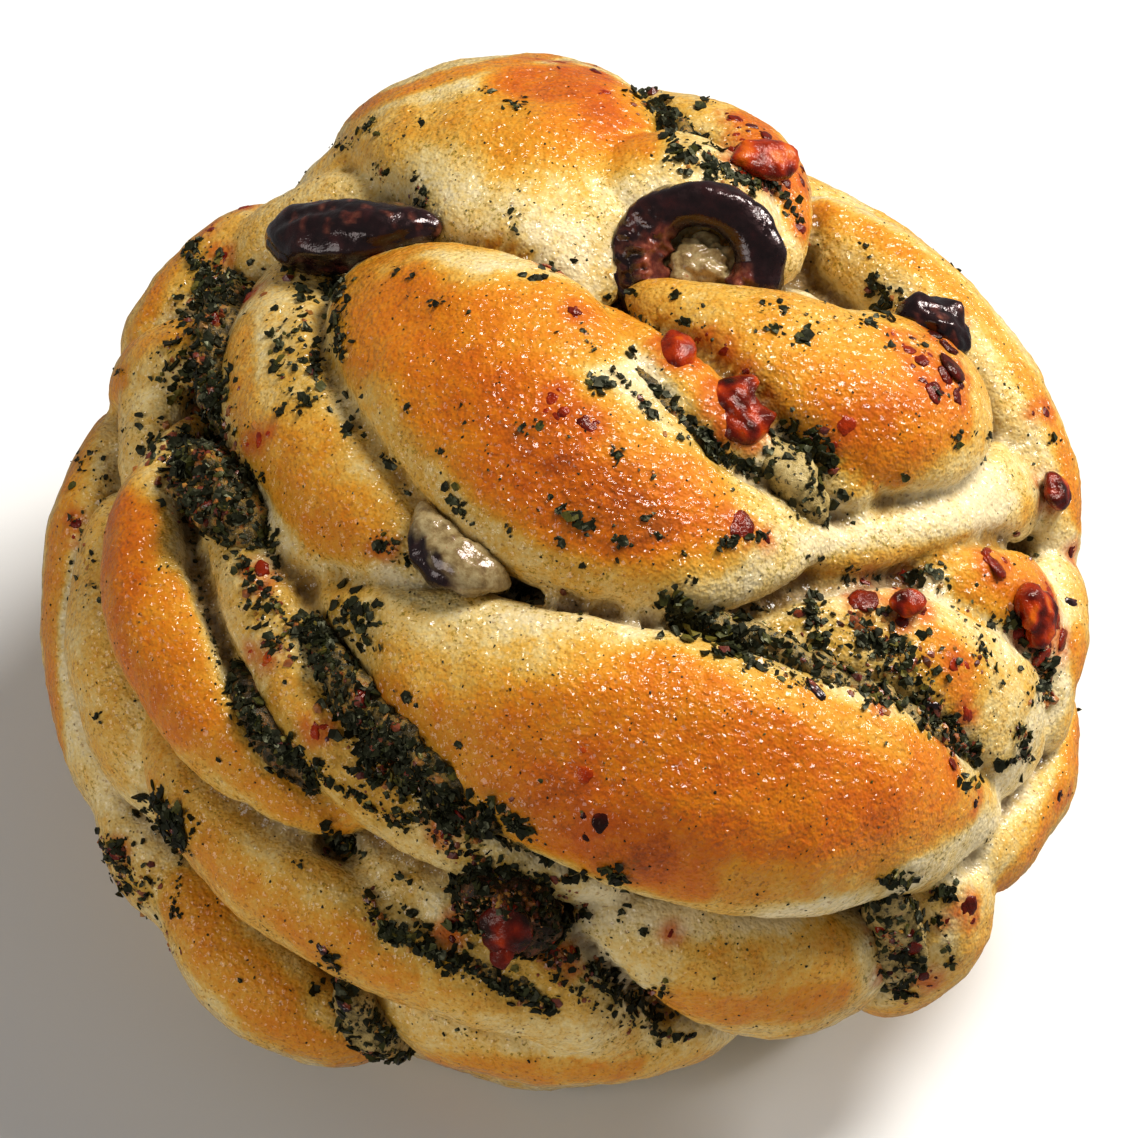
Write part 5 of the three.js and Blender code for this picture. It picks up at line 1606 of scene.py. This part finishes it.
def crowding(points, spots):
    """How many spots lie about each point, counted in small cells that are then blurred."""
    low = np.minimum(points.min(0), spots.min(0)) - 2 * HERB_CELL
    cells = np.ceil((np.maximum(points.max(0), spots.max(0)) - low) / HERB_CELL).astype(int) + 2
    counts = np.zeros(cells)
    np.add.at(counts, tuple(((spots - low) / HERB_CELL).astype(int).T), 1.0)
    for axis in (0, 1, 2) * 2:
        counts = (2 * counts + np.roll(counts, 1, axis) + np.roll(counts, -1, axis)) / 4
    return counts[tuple(((points - low) / HERB_CELL).astype(int).T)]


def add_flakes(flakes, material):
    """The larger flakes as chips with a thickness, and the smaller ones as thin chips."""
    rng = np.random.default_rng(8)
    large = [flake for flake in flakes if flake[2] >= THICK_FLAKE]
    small = [flake for flake in flakes if flake[2] < THICK_FLAKE]
    for name, group, build in (("herb_flakes", large, flake_mesh), ("herb_specks", small, speck_mesh)):
        points, faces, which = build(*columns_of(group), rng)
        tone = rng.random(len(group)) ** 1.6
        piece = make_object(name, points, faces, smooth=False, marks={"tone": tone[which]})
        ride_bun(piece, material)


def add_crumbs(crumbs, material):
    """Crumbs of garlic, onion and tomato as small uneven blobs."""
    rng = np.random.default_rng(9)
    spots, normals, widths, tone = columns_of(crumbs)
    sizes = widths[:, None] * rng.uniform(0.7, 1.25, (len(crumbs), 3))
    points, faces, which = blob_mesh(spots, normals, sizes, 0.15, 1, [(1.2, 0.14)], rng)
    piece = make_object("crumbs", points, faces, smooth=False, marks={"tone": tone[which]})
    ride_bun(piece, material)


def bits_seen(skin, places, height):
    """Bits where the photo shows them: spot, direction, size in millimetres and what follows."""
    bits = []
    for x, y, wide, high, *tone in places:
        hit = skin.seen_at(x, y)
        if hit:
            size = np.array([wide, high]) / PIXELS_PER_MM
            bits.append((*hit, (*size, height * size.mean()), *tone))
    return bits


def add_tomato_bits(skin, hidden, material):
    """Small bits of tomato, each with two smaller ones about it, and where and how wide they are."""
    rng = np.random.default_rng(10)
    spread = [
        (x + rng.normal(0, 0.5 * wide), y + rng.normal(0, 0.5 * high), 0.4 * wide, 0.34 * high, tone)
        for x, y, wide, high, tone in TOMATO_BITS for _ in range(2)]
    bits = bits_seen(skin, TOMATO_BITS + spread, TOMATO_HEIGHT)
    for spot, normal in hidden:
        wide, high = rng.uniform(1.2, 3.4, 2)
        size = (wide, high, TOMATO_HEIGHT * (wide + high) / 2)
        bits.append((spot, normal, size, rng.uniform(0.3, 0.8)))
    spots, normals, sizes, tone = columns_of(bits)
    roughness = [(2.4, 0.2), (0.9, 0.07), (0.4, 0.025)]
    points, faces, which = blob_mesh(spots, normals, sizes, 0.25, 3, roughness, rng)
    piece = make_object("tomato_bits", points, faces, marks={"tone": (0.12 + tone)[which]})
    ride_bun(piece, material)
    return spots, sizes


def add_olive_bits(skin, hidden, material):
    """Small bits of olive flesh, partly in their skin."""
    rng = np.random.default_rng(11)
    bits = bits_seen(skin, OLIVE_BITS, OLIVE_HEIGHT)
    for spot, normal in hidden:
        bits.append((spot, normal, tuple(rng.uniform((3, 1.6, 1.2), (5.5, 3, 1.8)))))
    roughness = [(1.5, 0.1), (0.6, 0.04)]
    points, faces, _ = blob_mesh(*columns_of(bits), 0.15, 4, roughness, rng)
    flesh = smooth_step(0.3, 1.0, Waves(1.6, 12)(points))
    piece = make_object("olive_bits", points, faces, marks={"flesh": flesh, "pale": 0})
    ride_bun(piece, material)


def add_fillings(material):
    """The masses of filling in the creases."""
    pieces = []
    for number, (name, roll) in enumerate(FILLINGS.items()):
        mesh = roll_mesh(roll, PIECE_FACET, lumpy([(4.0, 0.1), (1.4, 0.035)], 40 + number))
        # Darker paste: its own purple brown in the lower filling, painted shade in the pocket.
        marks = {"purple_and_shade": PURPLE_AND_SHADED_FILLINGS.get(name, 0), "honey": HONEY_FILLINGS.get(name, 0)}
        pieces.append(place_piece(name + "_paste", mesh, name, material, marks))
    return pieces


def add_olives(material):
    """The crosswise slice with the filling in its hole, and the other pieces of olive."""
    points, faces, flesh = ring_mesh()
    marks = {"flesh": flesh, "pale": 0}
    place_piece("olive_slice", (points, faces), "olive_ring", material, marks)
    filling = make_object("olive_slice_filling", *ring_filling_mesh(), marks={"pale": 1, "flesh": 0})
    ride_bun(filling, material)
    for name, roll in OLIVES.items():
        mesh = roll_mesh(roll, PIECE_FACET, OLIVE_WRINKLES[name])
        flesh, pale = olive_marks(name, mesh[0])
        marks = {"flesh": flesh, "pale": pale}
        place_piece(name + "_flesh", mesh, name, material, marks)


def add_tomatoes(material):
    """The larger lumps of tomato, and where and how wide they are."""
    spots, sizes = [], []
    for number, (name, roll) in enumerate(TOMATOES.items()):
        wrinkle = lumpy([(4.4, 0.13), (1.5, 0.05), (0.6, 0.012)], 20 + number)
        mesh = roll_mesh(roll, TOMATO_FACET, wrinkle)
        tone = TOMATO_TONES.get(name, TOMATO_TONE) + 0.2 * Waves(2.5, 80 + number)(mesh[0])
        place_piece(name + "_flesh", mesh, name, material, {"tone": tone})
        spots.append(mesh[0].mean(0))
        sizes.append(np.ptp(mesh[0], axis=0))
    return spots, sizes


# ---- The dough's marks -----------------------------------------------------------------------

def baked(points, normals, edges, crest, owner, skin):
    """How brown the crust is at each point."""
    fold_tone = np.random.default_rng(3).uniform(-FOLD_TONE, FOLD_TONE, owner.max() + 1)
    base = smooth_step(*CREST_HEIGHTS, crest) * CREST_BROWN + fold_tone[owner]
    base *= smooth_step(*BASE_PALE_HEIGHTS, points[:, 2]) * (1 - BASE_PALE) + BASE_PALE
    bake = painted(points, owner, base, BROWNING, skin)
    turned_away = 1 - smooth_step(*AWAY, normals @ VIEW_BACK)
    bake += turned_away * (relaxed(bake[:, None], edges, AWAY_ROUNDS)[:, 0] - bake)
    even = smooth_step(*EVEN_REACH, -points[:, 0] - 0.25 * points[:, 1])
    return bake + even * (EVEN_BAKE - EVEN_SHARE * bake)


def stained(points, spots, sizes):
    """How far tomato of each place and size stains the dough about it."""
    stain = np.zeros(len(points))
    for spot, size in zip(spots, sizes):
        gap = np.linalg.norm(points - spot, axis=1) - size[:2].mean() / 2
        stain = np.maximum(stain, 1 - smooth_step(0.0, STAIN_REACH, gap))
    return stain


# ---- The bun ---------------------------------------------------------------------------------

rolls = dough_rolls()
dough = dough_skin(rolls)
fill_pits(dough)
# The creases are drawn in, and crease holds how much painted shade each point gets there.
crease = deepen_creases(dough)
raise_relief(dough)
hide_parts("dough")
ride_bun(dough, crust_finish())

fillings = add_fillings(paste_finish())
olive = olive_finish()
tomato = tomato_finish()

points, normals, edges = points_of(dough), normals_of(dough), edges_of(dough)
# How far each point stands out from the broad shape round it.
crest = ((points - relaxed(points, edges, CREST_ROUNDS)) * normals).sum(1)
skin = Skin([dough, *fillings])
bare = Skin([dough])

rng = np.random.default_rng(4)
hidden, hidden_tomatoes, hidden_olives = (
    hidden_spots(points, normals, crest, bare, rng, *some)
    for some in (HIDDEN_HERBS, HIDDEN_TOMATOES, HIDDEN_OLIVES))
flakes, crumbs = herbs_and_crumbs(skin, fillings, hidden)
add_flakes(flakes, herb_finish())
add_crumbs(crumbs, crumb_finish())
bit_spots, bit_sizes = add_tomato_bits(skin, hidden_tomatoes, tomato)
add_olive_bits(skin, hidden_olives, olive)
add_olives(olive)
lump_spots, lump_sizes = add_tomatoes(tomato)

bake = baked(points, normals, edges, crest, nearest_rolls(points, rolls), bare)
herb_spots = np.array([flake[0] for flake in flakes if flake[4] > HERB_TILT])
# Painted shade: this mark darkens the crust in the creases and the deep hollows.
set_mark(dough, "crease", np.maximum(crease, PIT_SHADE * smooth_step(*PIT_SHADES, -crest)))
set_mark(dough, "bake", bake)
set_mark(dough, "herb", np.clip(crowding(points, herb_spots) / HERB_CROWD, 0, 1))
set_mark(dough, "stain", stained(points, [*bit_spots, *lump_spots], [*bit_sizes, *lump_sizes]))


# ---- Floor, light and camera -----------------------------------------------------------------

def add_floor():
    bpy.ops.mesh.primitive_plane_add(size=FLOOR_SIDE, location=(0, 0, 0))
    floor = bpy.context.object
    floor.name = "floor"
    floor.visible_glossy = False
    floor.data.materials.append(floor_finish())


def add_area_light(name, place, size, watts, shade):
    data = bpy.data.lights.new(name, "AREA")
    data.shape = "DISK"
    data.size = size
    data.energy = watts
    data.color = shade
    light = bpy.data.objects.new(name, data)
    light.location = place
    light.rotation_euler = (Vector(LIT_PLACE) - Vector(place)).to_track_quat("-Z", "Y").to_euler()
    bpy.context.scene.collection.objects.link(light)


def add_camera():
    data = bpy.data.cameras.new("camera")
    data.sensor_width = SENSOR
    data.lens = FOCAL_PIXELS / PHOTO_SIDE * SENSOR
    data.clip_start = 0.01
    camera = bpy.data.objects.new("camera", data)
    camera.location = Vector(EYE * MM)
    camera.rotation_euler = Vector(-VIEW_BACK).to_track_quat("-Z", "Y").to_euler()
    bpy.context.scene.collection.objects.link(camera)
    bpy.context.scene.camera = camera


def set_world():
    world = bpy.data.worlds.new("soft white room")
    bpy.context.scene.world = world
    world.use_nodes = True
    background = world.node_tree.nodes["Background"]
    background.inputs["Color"].default_value = (1, 1, 1, 1)
    background.inputs["Strength"].default_value = ROOM_LIGHT


add_floor()
for light in LIGHTS:
    add_area_light(*light)
add_camera()
set_world()
bpy.context.scene.view_settings.view_transform = "Standard"
